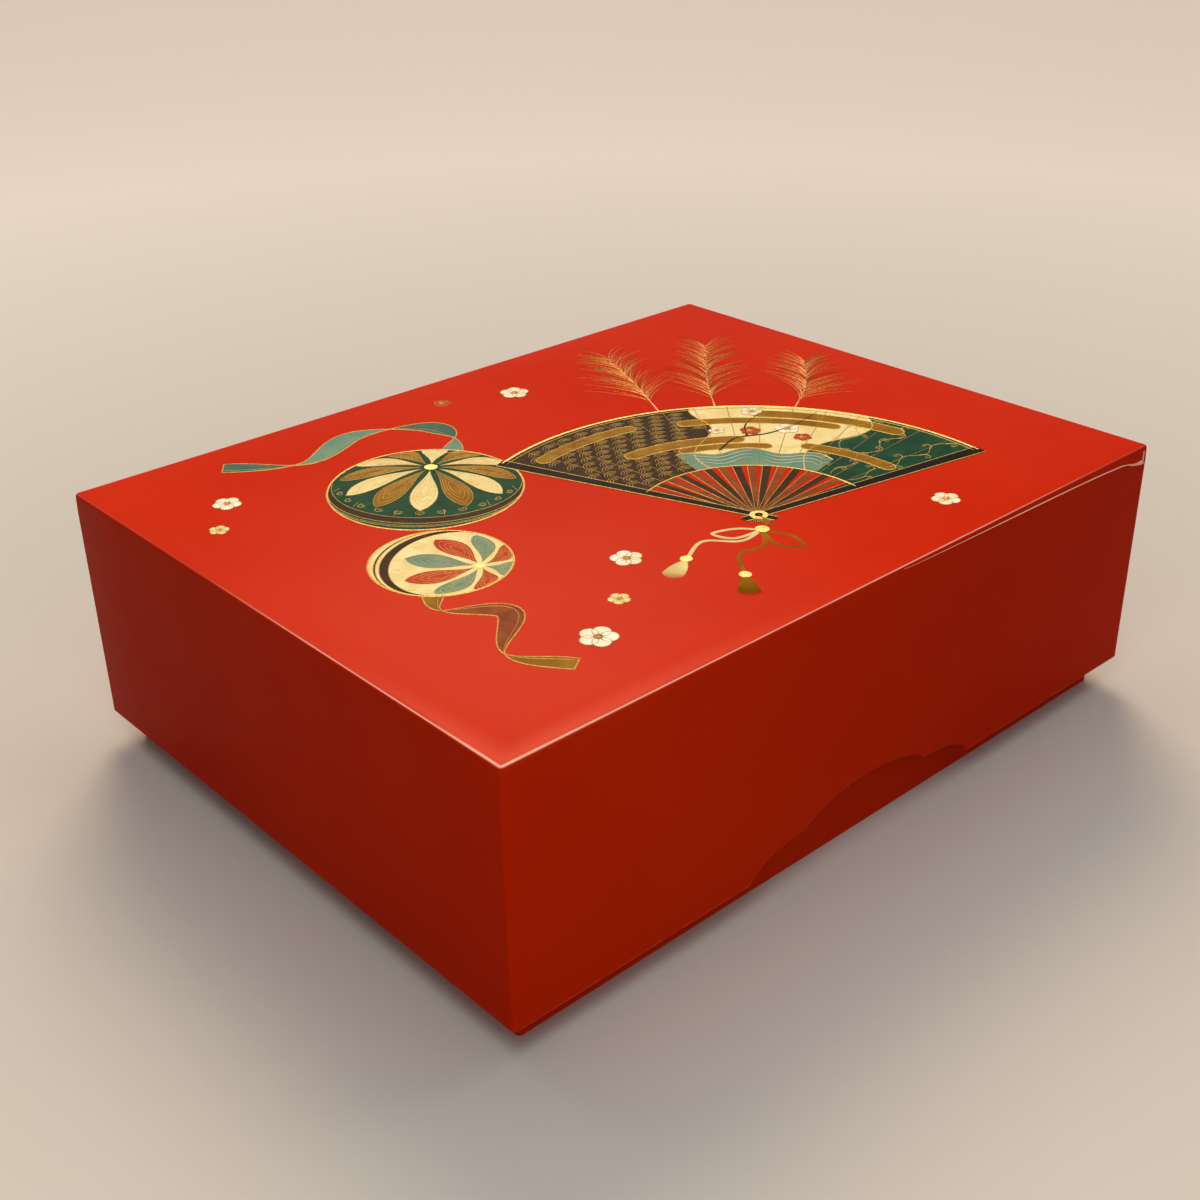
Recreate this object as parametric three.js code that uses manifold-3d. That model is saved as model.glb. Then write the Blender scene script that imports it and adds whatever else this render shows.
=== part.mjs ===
// A lacquered writing box: a deep cover lid with shaped finger notches over a straight-sided body, and a lift-out
// tray that holds the inkstone, water dropper, ink stick and two capped brushes.
// Units are millimetres. X runs across the box, Y along it, Z up. The origin is under the centre, at table height.
import * as THREE from "three";
import { mergeVertices } from "three/addons/utils/BufferGeometryUtils.js";
import Module from "manifold-3d";

const wasm = await Module();
wasm.setup();

// Overall sizes
const LID_LENGTH = 330;
const LID_WIDTH = 256;
const LID_HEIGHT = 96.5;
const BODY_SHOWN = 12; // how far the body reaches below the lid's lower edge

// Lid
const LID_WALL = 6.5;
const LID_TOP = 7;
const LID_CORNER_RADIUS = 4;
const TOP_EDGE_RADIUS = 2;
const LID_CLEARANCE = 1.5; // between the lid's inner face and the body, on each side
const SEAT_GAP = 0.3; // between pieces that rest on each other
const GLUE_LINE = 0.1; // between boards that are glued together

// Finger notch in each long side of the lid: a raised middle arch between two low side lobes
const NOTCH_ARCH_HALF = 33;
const NOTCH_ARCH_RISE = 9;
const NOTCH_LOBE_CENTRE = 37;
const NOTCH_LOBE_HALF = 23.5;
const NOTCH_LOBE_RISE = 9;
const NOTCH_FULLNESS = 1.4; // 1 is an ellipse; more draws the curve in towards its ends
const ARC_STEPS = 12;

// Body
const BODY_WALL = 5.5;
const BODY_CORNER_RADIUS = 4;
const FLOOR_THICKNESS = 5;
const FLOOR_RECESS = 1; // the floor stays clear of the table

// Feather keys in the mitred corners
const KEY_THICKNESS = 1;
const KEY_WIDTH_SHARE = 0.68; // of the wall's thickness
const KEY_FIT = 0.1;
const KEY_END_MARGIN = 2;

// Ledges along the two long sides that carry the tray
const LEDGE_WIDTH = 5;
const LEDGE_HEIGHT = 8;

// Tray
const TRAY_CLEARANCE = 1.25;
const TRAY_HEIGHT = 29;
const TRAY_WALL = 4;
const TRAY_FLOOR = 3.5;
const TRAY_BELOW_RIM = 1.5;
const TRAY_CORNER_RADIUS = 2;
const DIVIDER_THICKNESS = 4;
const DIVIDER_HEIGHT = 18;
const CROSS_DIVIDER_FROM_FRONT = 168;

// Inkstone, which takes its width and length from its bay
const INKSTONE_SIDE_CLEARANCE = 21;
const INKSTONE_END_CLEARANCE = 13;
const INKSTONE_HEIGHT = 19;
const INKSTONE_RIM = 6;
const INKSTONE_LAND_DEPTH = 3;
const INKSTONE_WELL_DEPTH = 11;
const INKSTONE_WELL_LENGTH = 38;
const INKSTONE_SLOPE_LENGTH = 20;
const INKSTONE_RADIUS = 5;
const INKSTONE_BEVEL = 1.2;

// Water dropper
const DROPPER_WIDTH = 62;
const DROPPER_LENGTH = 46;
const DROPPER_HEIGHT = 18;
const DROPPER_WALL = 2;
const DROPPER_RADIUS = 9;
const DROPPER_BEVEL = 3;
const DROPPER_FILL_RADIUS = 3.2;
const DROPPER_SPOUT_RADIUS = 2;
const DROPPER_FROM_DIVIDER = 12;

// Ink stick
const INK_WIDTH = 20;
const INK_LENGTH = 86;
const INK_HEIGHT = 9;
const INK_RADIUS = 3;
const INK_BEVEL = 0.8;

// Brushes, a thick one and a thin one
const LARGE_BRUSH = { name: "large_brush", handleRadius: 5, handleLength: 150, tipLength: 44 };
const SMALL_BRUSH = { name: "small_brush", handleRadius: 3.75, handleLength: 150, tipLength: 32 };
const BRUSHES = [LARGE_BRUSH, SMALL_BRUSH];
const BRUSH_GAP = 10; // between the divider, each brush, the ink stick and the tray's wall
const CAP_WALL = 1.1;
const CAP_FIT = 0.35;
const CAP_OVERLAP = 14;
const CAP_END = 3;
const ROUND_SIDES = 24;

// Rests that keep the brushes apart
const REST_THICKNESS = 8;
const REST_HEIGHT = 12;
const REST_FROM_HANDLE_END = 30;
const REST_SPACING = 86;
const REST_FIT = 0.3;

// Sizes worked out from the ones above
const BODY_LENGTH = LID_LENGTH - 2 * (LID_WALL + LID_CLEARANCE);
const BODY_WIDTH = LID_WIDTH - 2 * (LID_WALL + LID_CLEARANCE);
const LID_UNDERSIDE = BODY_SHOWN + LID_HEIGHT - LID_TOP;
const BODY_HEIGHT = LID_UNDERSIDE - SEAT_GAP;
const INNER_LENGTH = BODY_LENGTH - 2 * BODY_WALL;
const INNER_WIDTH = BODY_WIDTH - 2 * BODY_WALL;
const TRAY_LENGTH = INNER_LENGTH - 2 * TRAY_CLEARANCE;
const TRAY_WIDTH = INNER_WIDTH - 2 * TRAY_CLEARANCE;
const TRAY_BOTTOM = BODY_HEIGHT - TRAY_BELOW_RIM - TRAY_HEIGHT;
const LEDGE_TOP = TRAY_BOTTOM - SEAT_GAP;
const TRAY_INNER_LENGTH = TRAY_LENGTH - 2 * TRAY_WALL;
const TRAY_INNER_WIDTH = TRAY_WIDTH - 2 * TRAY_WALL;
const TRAY_DECK = TRAY_BOTTOM + TRAY_FLOOR;
const SEAT = TRAY_DECK + SEAT_GAP;
const BRUSH_BAY_WIDTH = 4 * BRUSH_GAP + 2 * capRadius(LARGE_BRUSH) + 2 * capRadius(SMALL_BRUSH) + INK_WIDTH;
const DIVIDER_X = TRAY_INNER_WIDTH / 2 - BRUSH_BAY_WIDTH - DIVIDER_THICKNESS / 2;
const BAY_LEFT = -TRAY_INNER_WIDTH / 2;
const BAY_RIGHT = DIVIDER_X - DIVIDER_THICKNESS / 2;
const BAY_CENTRE_X = (BAY_LEFT + BAY_RIGHT) / 2;
const TRAY_FRONT = -TRAY_INNER_LENGTH / 2;
const CROSS_Y = TRAY_FRONT + CROSS_DIVIDER_FROM_FRONT;
const INKSTONE_WIDTH = BAY_RIGHT - BAY_LEFT - 2 * INKSTONE_SIDE_CLEARANCE;
const INKSTONE_LENGTH = CROSS_DIVIDER_FROM_FRONT - DIVIDER_THICKNESS / 2 - 2 * INKSTONE_END_CLEARANCE;

const red = new THREE.MeshStandardMaterial({ color: 0xa8180c, roughness: 0.22 });
const black = new THREE.MeshStandardMaterial({ color: 0x0d0b0b, roughness: 0.15 });
const wood = new THREE.MeshStandardMaterial({ color: 0xb98f5c, roughness: 0.7 });
const stone = new THREE.MeshStandardMaterial({ color: 0x2b2d30, roughness: 0.6 });
const brass = new THREE.MeshStandardMaterial({ color: 0xa9803c, roughness: 0.35, metalness: 1 });
const ink = new THREE.MeshStandardMaterial({ color: 0x141414, roughness: 0.45 });
const bamboo = new THREE.MeshStandardMaterial({ color: 0xc39a55, roughness: 0.45 });
const hair = new THREE.MeshStandardMaterial({ color: 0xe8dcc0, roughness: 0.9 });

const box = new THREE.Group();

function add(name, geometry, material) {
  const mesh = new THREE.Mesh(geometry, material);
  mesh.name = name;
  box.add(mesh);
  return mesh;
}

// Boolean operations

function toSolid(geometry) {
  const bare = geometry.clone();
  bare.deleteAttribute("normal");
  bare.deleteAttribute("uv");
  const merged = mergeVertices(bare, 1e-4);
  return new wasm.Manifold(
    new wasm.Mesh({
      numProp: 3,
      vertProperties: merged.attributes.position.array,
      triVerts: new Uint32Array(merged.index.array),
    }),
  );
}

function toGeometry(solid) {
  const mesh = solid.getMesh();
  return new THREE.BufferGeometry()
    .setAttribute("position", new THREE.BufferAttribute(mesh.vertProperties, 3))
    .setIndex(new THREE.BufferAttribute(mesh.triVerts, 1));
}

// Outlines and simple shapes

function arc(cx, cy, rx, ry, from, to, steps) {
  return Array.from({ length: steps + 1 }, (_, i) => {
    const a = from + ((to - from) * i) / steps;
    return new THREE.Vector2(cx + rx * Math.cos(a), cy + ry * Math.sin(a));
  });
}

function roundedRectangle(width, length, radius, steps = 4) {
  const x = width / 2 - radius;
  const y = length / 2 - radius;
  const quarter = Math.PI / 2;
  const corners = [[x, y], [-x, y], [-x, -y], [x, -y]];
  return corners.flatMap(([cx, cy], i) => arc(cx, cy, radius, radius, i * quarter, (i + 1) * quarter, steps));
}

function extrude(points, bottom, height) {
  const geometry = new THREE.ExtrudeGeometry(new THREE.Shape(points), { depth: height, bevelEnabled: false });
  return geometry.translate(0, 0, bottom);
}

function block(x0, x1, y0, y1, z0, z1) {
  return new THREE.BoxGeometry(x1 - x0, y1 - y0, z1 - z0).translate((x0 + x1) / 2, (y0 + y1) / 2, (z0 + z1) / 2);
}

// Skins a stack of outlines that all have the same number of points, from the lowest to the highest.
function loft(layers) {
  const count = layers[0].points.length;
  const positions = layers.flatMap(({ points, z }) => points.flatMap((p) => [p.x, p.y, z]));
  const faces = [];
  for (let layer = 0; layer + 1 < layers.length; layer++) {
    for (let i = 0; i < count; i++) {
      const a = layer * count + i;
      const b = layer * count + ((i + 1) % count);
      faces.push(a, b, b + count, a, b + count, a + count);
    }
  }
  const last = (layers.length - 1) * count;
  for (const [a, b, c] of THREE.ShapeUtils.triangulateShape(layers[0].points, [])) {
    faces.push(a, c, b);
  }
  for (const [a, b, c] of THREE.ShapeUtils.triangulateShape(layers[layers.length - 1].points, [])) {
    faces.push(last + a, last + b, last + c);
  }
  return new THREE.BufferGeometry()
    .setAttribute("position", new THREE.Float32BufferAttribute(positions, 3))
    .setIndex(faces);
}

// A slab with rounded corners whose top edge, and bottom edge where asked, is rounded over.
function roundedSlab(width, length, radius, bottom, top, edge, roundBottom = false) {
  const steps = 4;
  const layer = (inset, z) => ({
    points: roundedRectangle(width - 2 * inset, length - 2 * inset, radius - inset),
    z,
  });
  const rounding = (z, side) =>
    Array.from({ length: steps + 1 }, (_, i) => {
      const a = (Math.PI / 2) * (i / steps);
      return layer(edge * (1 - Math.cos(a)), z + side * edge * (Math.sin(a) - 1));
    });
  const lower = roundBottom ? rounding(bottom, -1).reverse() : [layer(0, bottom)];
  return loft([...lower, ...rounding(top, 1)]);
}

// Mitred frames of four boards

// The end of a board that runs along +Y on the +X side, from its outer face round to its inner face. The mitre has
// half the glue line taken off it, and a slot for half of the feather key.
function mitredEnd(halfWidth, halfLength, wall, radius) {
  const glue = GLUE_LINE / 2;
  const diagonal = Math.SQRT1_2;
  const at = (inward, across) =>
    new THREE.Vector2(halfWidth + (across - inward) * diagonal, halfLength - (across + inward) * diagonal);
  const middle = wall * diagonal;
  const slotHalf = KEY_THICKNESS / 2 + KEY_FIT;
  const slotDepth = (wall * KEY_WIDTH_SHARE) / 2 + KEY_FIT;
  const end = Math.PI / 4 - Math.asin(glue / radius);
  return [
    ...arc(halfWidth - radius, halfLength - radius, radius, radius, 0, end, 3),
    at(middle - slotHalf, glue),
    at(middle - slotHalf, slotDepth),
    at(middle + slotHalf, slotDepth),
    at(middle + slotHalf, glue),
    at(wall / diagonal + glue, glue),
  ];
}

function boardOutline(halfWidth, halfLength, wall, radius) {
  const end = mitredEnd(halfWidth, halfLength, wall, radius);
  const otherEnd = end.map((p) => new THREE.Vector2(p.x, -p.y)).reverse();
  return [...end, ...otherEnd];
}

function turned(points, quarterTurns) {
  const angle = (quarterTurns * Math.PI) / 2;
  return points.map((p) => p.clone().rotateAround(new THREE.Vector2(), angle));
}

// Four boards and four corner keys. cut changes each long board before it's added.
function mitredFrame(prefix, { width, length, wall, radius, bottom, height, material, cut }) {
  const sides = [
    { side: "right", across: width, along: length, turns: 0 },
    { side: "back", across: length, along: width, turns: 1 },
    { side: "left", across: width, along: length, turns: 2 },
    { side: "front", across: length, along: width, turns: 3 },
  ];
  for (const { side, across, along, turns } of sides) {
    const outline = turned(boardOutline(across / 2, along / 2, wall, radius), turns);
    const geometry = extrude(outline, bottom, height);
    const isLong = turns % 2 === 0;
    add(`${prefix}_${side}_board`, cut && isLong ? cut(geometry) : geometry, material);
  }
  const reach = wall / 2;
  const corners = [
    { corner: "back_right", x: 1, y: 1 },
    { corner: "back_left", x: -1, y: 1 },
    { corner: "front_left", x: -1, y: -1 },
    { corner: "front_right", x: 1, y: -1 },
  ];
  for (const { corner, x, y } of corners) {
    const keyHeight = height - 2 * KEY_END_MARGIN;
    const key = new THREE.BoxGeometry(KEY_THICKNESS, wall * KEY_WIDTH_SHARE, keyHeight);
    const mesh = add(`${prefix}_key_${corner}`, key, wood);
    mesh.rotation.z = Math.atan2(y, x);
    mesh.position.set(x * (width / 2 - reach), y * (length / 2 - reach), bottom + height / 2);
  }
}

// Lid

// An arc over a level line, drawn in towards its two ends.
function softArc(cx, cy, rx, ry, from, to, steps) {
  return Array.from({ length: steps + 1 }, (_, i) => {
    const a = from + ((to - from) * i) / steps;
    return new THREE.Vector2(cx + rx * Math.cos(a), cy + ry * Math.abs(Math.sin(a)) ** NOTCH_FULLNESS);
  });
}

// The notch is drawn in the Y-Z plane and cut through the board along X.
function notchCutter() {
  const cuspAngle = Math.acos((NOTCH_ARCH_HALF - NOTCH_LOBE_CENTRE) / NOTCH_LOBE_HALF);
  const cuspRise = NOTCH_LOBE_RISE * Math.sin(cuspAngle) ** NOTCH_FULLNESS;
  const lobe = softArc(NOTCH_LOBE_CENTRE, 0, NOTCH_LOBE_HALF, NOTCH_LOBE_RISE, 0, cuspAngle, ARC_STEPS);
  const arch = softArc(0, cuspRise, NOTCH_ARCH_HALF, NOTCH_ARCH_RISE, 0, Math.PI, 2 * ARC_STEPS);
  const otherLobe = lobe.map((p) => new THREE.Vector2(-p.x, p.y)).reverse();
  const below = NOTCH_LOBE_RISE;
  const start = NOTCH_LOBE_CENTRE + NOTCH_LOBE_HALF;
  const outline = [
    new THREE.Vector2(-start, -below),
    new THREE.Vector2(start, -below),
    ...lobe.slice(0, -1),
    ...arch,
    ...otherLobe.slice(1),
  ];
  const through = LID_WIDTH + 2 * LID_WALL;
  const cutter = new THREE.ExtrudeGeometry(new THREE.Shape(outline), { depth: through, bevelEnabled: false });
  // The outline's x becomes Y, its y becomes Z, and the depth becomes X.
  const turn = new THREE.Matrix4().makeBasis(
    new THREE.Vector3(0, 1, 0),
    new THREE.Vector3(0, 0, 1),
    new THREE.Vector3(1, 0, 0),
  );
  return cutter.translate(0, 0, -through / 2).applyMatrix4(turn).translate(0, 0, BODY_SHOWN);
}

function makeLid() {
  const boardHeight = LID_HEIGHT - LID_TOP - GLUE_LINE;
  const cutter = toSolid(notchCutter());
  mitredFrame("lid", {
    width: LID_WIDTH,
    length: LID_LENGTH,
    wall: LID_WALL,
    radius: LID_CORNER_RADIUS,
    bottom: BODY_SHOWN,
    height: boardHeight,
    material: red,
    cut: (geometry) => toGeometry(toSolid(geometry).subtract(cutter)),
  });
  const top = BODY_SHOWN + LID_HEIGHT;
  add(
    "lid_top_board",
    roundedSlab(LID_WIDTH, LID_LENGTH, LID_CORNER_RADIUS, top - LID_TOP, top, TOP_EDGE_RADIUS),
    red,
  );
}

// Body

function makeBody() {
  mitredFrame("body", {
    width: BODY_WIDTH,
    length: BODY_LENGTH,
    wall: BODY_WALL,
    radius: BODY_CORNER_RADIUS,
    bottom: 0,
    height: BODY_HEIGHT,
    material: red,
  });
  const x = INNER_WIDTH / 2 - GLUE_LINE;
  const y = INNER_LENGTH / 2 - GLUE_LINE;
  add("body_floor_board", block(-x, x, -y, y, FLOOR_RECESS, FLOOR_RECESS + FLOOR_THICKNESS), black);
  const low = LEDGE_TOP - LEDGE_HEIGHT;
  for (const [side, sign] of [["right", 1], ["left", -1]]) {
    const outer = sign * x;
    const inner = sign * (x - LEDGE_WIDTH);
    add(`${side}_ledge`, block(Math.min(outer, inner), Math.max(outer, inner), -y, y, low, LEDGE_TOP), black);
  }
}

// Tray

function brushX(brush) {
  const largeX = DIVIDER_X + DIVIDER_THICKNESS / 2 + BRUSH_GAP + capRadius(LARGE_BRUSH);
  return brush === LARGE_BRUSH ? largeX : largeX + capRadius(LARGE_BRUSH) + BRUSH_GAP + capRadius(SMALL_BRUSH);
}

// Height of a brush's axis: its cap, the thickest part, lies just above the tray's deck.
function brushAxis(brush) {
  return SEAT + capRadius(brush);
}

function capRadius(brush) {
  return brush.handleRadius + CAP_FIT + CAP_WALL;
}

function brushHandleEnd() {
  return TRAY_FRONT + 14;
}

// A bar across the brush bay with a round notch for each handle.
function brushRest(y) {
  const x0 = DIVIDER_X + DIVIDER_THICKNESS / 2 + GLUE_LINE;
  const x1 = TRAY_INNER_WIDTH / 2 - GLUE_LINE;
  const z0 = TRAY_DECK + GLUE_LINE;
  let rest = toSolid(block(x0, x1, y - REST_THICKNESS / 2, y + REST_THICKNESS / 2, z0, z0 + REST_HEIGHT));
  for (const brush of BRUSHES) {
    const radius = brush.handleRadius + REST_FIT;
    const length = 2 * REST_THICKNESS;
    const round = new THREE.CylinderGeometry(radius, radius, length, ROUND_SIDES).translate(
      brushX(brush),
      y,
      brushAxis(brush),
    );
    const open = block(
      brushX(brush) - radius,
      brushX(brush) + radius,
      y - length / 2,
      y + length / 2,
      brushAxis(brush),
      z0 + 2 * REST_HEIGHT,
    );
    rest = rest.subtract(toSolid(round)).subtract(toSolid(open));
  }
  return toGeometry(rest);
}

function makeTray() {
  mitredFrame("tray", {
    width: TRAY_WIDTH,
    length: TRAY_LENGTH,
    wall: TRAY_WALL,
    radius: TRAY_CORNER_RADIUS,
    bottom: TRAY_BOTTOM,
    height: TRAY_HEIGHT,
    material: black,
  });
  const x = TRAY_INNER_WIDTH / 2 - GLUE_LINE;
  const y = TRAY_INNER_LENGTH / 2 - GLUE_LINE;
  add("tray_floor_board", block(-x, x, -y, y, TRAY_BOTTOM, TRAY_DECK), black);
  const z0 = TRAY_DECK + GLUE_LINE;
  const z1 = z0 + DIVIDER_HEIGHT;
  const half = DIVIDER_THICKNESS / 2;
  add("long_divider", block(DIVIDER_X - half, DIVIDER_X + half, -y, y, z0, z1), black);
  add(
    "cross_divider",
    block(BAY_LEFT + GLUE_LINE, BAY_RIGHT - GLUE_LINE, CROSS_Y - half, CROSS_Y + half, z0, z1),
    black,
  );
  const firstRest = brushHandleEnd() + REST_FROM_HANDLE_END;
  add("front_brush_rest", brushRest(firstRest), black);
  add("back_brush_rest", brushRest(firstRest + REST_SPACING), black);
}

// Writing tools

function makeInkstone() {
  const y = TRAY_FRONT + INKSTONE_END_CLEARANCE + INKSTONE_LENGTH / 2;
  const top = SEAT + INKSTONE_HEIGHT;
  const slab = toSolid(
    roundedSlab(INKSTONE_WIDTH, INKSTONE_LENGTH, INKSTONE_RADIUS, SEAT, top, INKSTONE_BEVEL, true),
  );
  // The hollow is drawn in the Y-Z plane: a shallow land for grinding, a slope, and a deep well at the back.
  const front = -INKSTONE_LENGTH / 2 + INKSTONE_RIM;
  const back = INKSTONE_LENGTH / 2 - INKSTONE_RIM;
  const outline = [
    new THREE.Vector2(front, INKSTONE_RIM),
    new THREE.Vector2(front, -INKSTONE_LAND_DEPTH),
    new THREE.Vector2(back - INKSTONE_WELL_LENGTH - INKSTONE_SLOPE_LENGTH, -INKSTONE_LAND_DEPTH),
    new THREE.Vector2(back - INKSTONE_WELL_LENGTH, -INKSTONE_WELL_DEPTH),
    new THREE.Vector2(back, -INKSTONE_WELL_DEPTH),
    new THREE.Vector2(back, INKSTONE_RIM),
  ];
  const width = INKSTONE_WIDTH - 2 * INKSTONE_RIM;
  const hollow = new THREE.ExtrudeGeometry(new THREE.Shape(outline), { depth: width, bevelEnabled: false })
    .translate(0, 0, -width / 2)
    .applyMatrix4(
      new THREE.Matrix4().makeBasis(
        new THREE.Vector3(0, 1, 0),
        new THREE.Vector3(0, 0, 1),
        new THREE.Vector3(1, 0, 0),
      ),
    )
    .translate(0, 0, top);
  const innerRadius = INKSTONE_RADIUS;
  const innerLength = INKSTONE_LENGTH - 2 * INKSTONE_RIM;
  const rounded = extrude(roundedRectangle(width, innerLength, innerRadius), SEAT, 2 * INKSTONE_HEIGHT);
  const geometry = toGeometry(slab.subtract(toSolid(hollow).intersect(toSolid(rounded))));
  add("inkstone", geometry.translate(BAY_CENTRE_X, y, 0), stone);
}

function makeWaterDropper() {
  const y = CROSS_Y + DIVIDER_THICKNESS / 2 + DROPPER_FROM_DIVIDER + DROPPER_LENGTH / 2;
  const top = SEAT + DROPPER_HEIGHT;
  const outside = toSolid(
    roundedSlab(DROPPER_WIDTH, DROPPER_LENGTH, DROPPER_RADIUS, SEAT, top, DROPPER_BEVEL, true),
  );
  const inside = toSolid(
    roundedSlab(
      DROPPER_WIDTH - 2 * DROPPER_WALL,
      DROPPER_LENGTH - 2 * DROPPER_WALL,
      DROPPER_RADIUS - DROPPER_WALL,
      SEAT + DROPPER_WALL,
      top - DROPPER_WALL,
      DROPPER_BEVEL - DROPPER_WALL / 2,
      true,
    ),
  );
  const hole = (radius, x, z) => {
    const depth = 3 * DROPPER_WALL;
    const drill = new THREE.CylinderGeometry(radius, radius, depth, ROUND_SIDES).rotateX(Math.PI / 2);
    return toSolid(drill.translate(x, 0, z));
  };
  const spoutX = DROPPER_WIDTH / 2 - DROPPER_RADIUS;
  const geometry = toGeometry(
    outside
      .subtract(inside)
      .subtract(hole(DROPPER_FILL_RADIUS, 0, top))
      .subtract(hole(DROPPER_SPOUT_RADIUS, spoutX, top)),
  );
  add("water_dropper", geometry.translate(BAY_CENTRE_X, y, 0), brass);
}

function makeInkStick() {
  const lastRest = brushHandleEnd() + REST_FROM_HANDLE_END + REST_SPACING;
  const y = (lastRest + TRAY_INNER_LENGTH / 2) / 2 + REST_THICKNESS;
  const x = TRAY_INNER_WIDTH / 2 - BRUSH_GAP - INK_WIDTH / 2;
  const geometry = roundedSlab(INK_WIDTH, INK_LENGTH, INK_RADIUS, SEAT, SEAT + INK_HEIGHT, INK_BEVEL, true);
  add("ink_stick", geometry.translate(x, y, 0), ink);
}

// Turns a profile of [radius, distance along the brush] about the brush's own line, which runs along +Y.
function brushPiece(name, brush, profile, material) {
  const points = profile.map(([radius, along]) => new THREE.Vector2(radius, along));
  const mesh = add(name, new THREE.LatheGeometry(points, ROUND_SIDES), material);
  mesh.position.set(brushX(brush), brushHandleEnd(), brushAxis(brush));
}

function makeBrush(brush) {
  const { name, handleRadius: r, handleLength: length, tipLength } = brush;
  const neck = 0.8; // radius by which the bristles are thinner than the handle
  const swell = 0.35; // how far each joint of the bamboo stands out
  const ring = 1.4;
  const joints = [0.3, 0.72].map((share) => share * length);
  const chamfer = 0.8;
  const handle = [[0, 0], [r - chamfer, 0], [r, chamfer]];
  for (const at of joints) {
    handle.push([r, at - ring], [r + swell / 2, at - ring / 2], [r - swell / 2, at], [r, at + ring / 2]);
  }
  handle.push([r, length], [0, length]);
  brushPiece(`${name}_handle`, brush, handle, bamboo);

  const start = length + GLUE_LINE;
  const tip = [[0, start], [r - neck, start]];
  const belly = 6;
  for (let i = 1; i < belly; i++) {
    const share = i / belly;
    tip.push([(r - neck) * Math.cos((share ** 1.6 * Math.PI) / 2), start + share * tipLength]);
  }
  tip.push([0, start + tipLength]);
  brushPiece(`${name}_tip`, brush, tip, hair);

  const inner = r + CAP_FIT;
  const outer = capRadius(brush);
  const mouth = length - CAP_OVERLAP;
  const closed = start + tipLength + CAP_END;
  brushPiece(
    `${name}_cap`,
    brush,
    [
      [0, closed],
      [inner, closed],
      [inner, mouth],
      [outer, mouth],
      [outer, closed + CAP_END - chamfer],
      [outer - chamfer, closed + CAP_END],
      [0, closed + CAP_END],
    ],
    bamboo,
  );
}

makeLid();
makeBody();
makeTray();
makeInkstone();
makeWaterDropper();
makeInkStick();
BRUSHES.forEach(makeBrush);

export default box;
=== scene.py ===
"""Looks for the lacquered writing box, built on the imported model.

Shapes are worked out in millimetres in the model's own frame and become metres where a mesh is made.
The pattern on the lid is drawn with complex numbers, from the lid's middle: x runs to the right and y up
the picture.
"""
import cmath
import random
from math import acos, cos, exp, hypot, pi, radians, sin, sqrt

import bmesh
import bpy
from mathutils import Matrix, Vector


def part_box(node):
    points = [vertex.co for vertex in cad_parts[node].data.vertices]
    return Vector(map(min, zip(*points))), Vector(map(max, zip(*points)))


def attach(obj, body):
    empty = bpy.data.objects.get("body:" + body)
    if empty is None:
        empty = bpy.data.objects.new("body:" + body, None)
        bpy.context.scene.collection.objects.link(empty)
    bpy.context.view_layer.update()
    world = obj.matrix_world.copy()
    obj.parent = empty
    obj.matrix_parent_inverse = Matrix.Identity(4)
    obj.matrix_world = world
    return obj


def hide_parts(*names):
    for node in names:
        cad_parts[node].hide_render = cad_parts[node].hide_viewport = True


MM = 0.001
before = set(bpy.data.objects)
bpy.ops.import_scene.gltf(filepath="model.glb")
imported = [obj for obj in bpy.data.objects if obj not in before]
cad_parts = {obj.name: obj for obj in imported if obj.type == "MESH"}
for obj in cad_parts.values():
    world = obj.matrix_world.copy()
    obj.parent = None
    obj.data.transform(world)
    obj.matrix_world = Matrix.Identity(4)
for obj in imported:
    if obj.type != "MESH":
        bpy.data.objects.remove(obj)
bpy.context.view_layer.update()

# Camera, fitted to the corners of the box in the photograph
CAMERA_AZIMUTH = 48.2
CAMERA_ELEVATION = 28.11
CAMERA_ROLL = -0.99
CAMERA_DISTANCE = 757.6
CAMERA_AIM = (-77.2, 56.3, 0.0)
CAMERA_LENS = 48.33

# Lid shell. Its top falls a little towards the rounded edge, and its sides roll in towards it
LID_WALL = 6.5
LID_TOP = 7.0
LID_CORNER = 1.8
LID_EDGE = 1.2
LID_EDGE_STEPS = 8
LID_CREST = 3.4
LID_FALL = 0.14
LID_FALL_WIDTH = 9.0
LID_FALL_SHARES = (1.2, 1.0, 0.8, 0.6, 0.45, 0.3, 0.2, 0.1)
LID_ROLL = 0.22
LID_ROLL_DEPTH = 10.0
LID_LIP = 0.5
LID_PLAIN_FROM = 30.0
LID_CEILING_EDGE = 1.5

# How rubbed the lid is, from 0 to 1, with its painted sheen and painted highlight lines, and how far from its
# near right corner that reaches
LID_PAINTED_SHEEN = 0.6
LID_PAINTED_SHEEN_REACH = 0.5
LID_RUB_AND_HIGHLIGHT_REACH = 0.95
LID_LEAST_RUB_AND_HIGHLIGHT = 0.12
LID_NOTCH_RUB_AND_HIGHLIGHT = 0.15
LID_INNER_WEAR = 0.2

# Finger notch, as in the solid model
NOTCH_ARCH_HALF = 33.0
NOTCH_ARCH_RISE = 9.0
NOTCH_LOBE_CENTRE = 37.0
NOTCH_LOBE_HALF = 23.5
NOTCH_LOBE_RISE = 9.0
NOTCH_FULLNESS = 1.4
NOTCH_STEPS = 16
NOTCH_MARGIN = 2.0

# Body and tray shells
FOOT_WEAR = 0.5
RIM_WEAR = 0.22
BODY_WALL = 5.5
BODY_CORNER = 1.8
BODY_EDGE = 0.6
TRAY_WALL = 4.0
TRAY_CORNER = 2.0
TRAY_EDGE = 1.5

# All shells: the corners inside them, and how far the flat of a wall stays from its rounded edges
LEAST_CORNER = 0.5
INNER_CORNER = 2.0
EDGE_GAP = 0.3


# Measuring and mesh making


def reach(*nodes):
    """Lowest and highest corners of some CAD nodes together, in millimetres."""
    boxes = [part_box(node) for node in nodes]
    low = [min(low[i] for low, _ in boxes) / MM for i in range(3)]
    high = [max(high[i] for _, high in boxes) / MM for i in range(3)]
    return low, high


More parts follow.
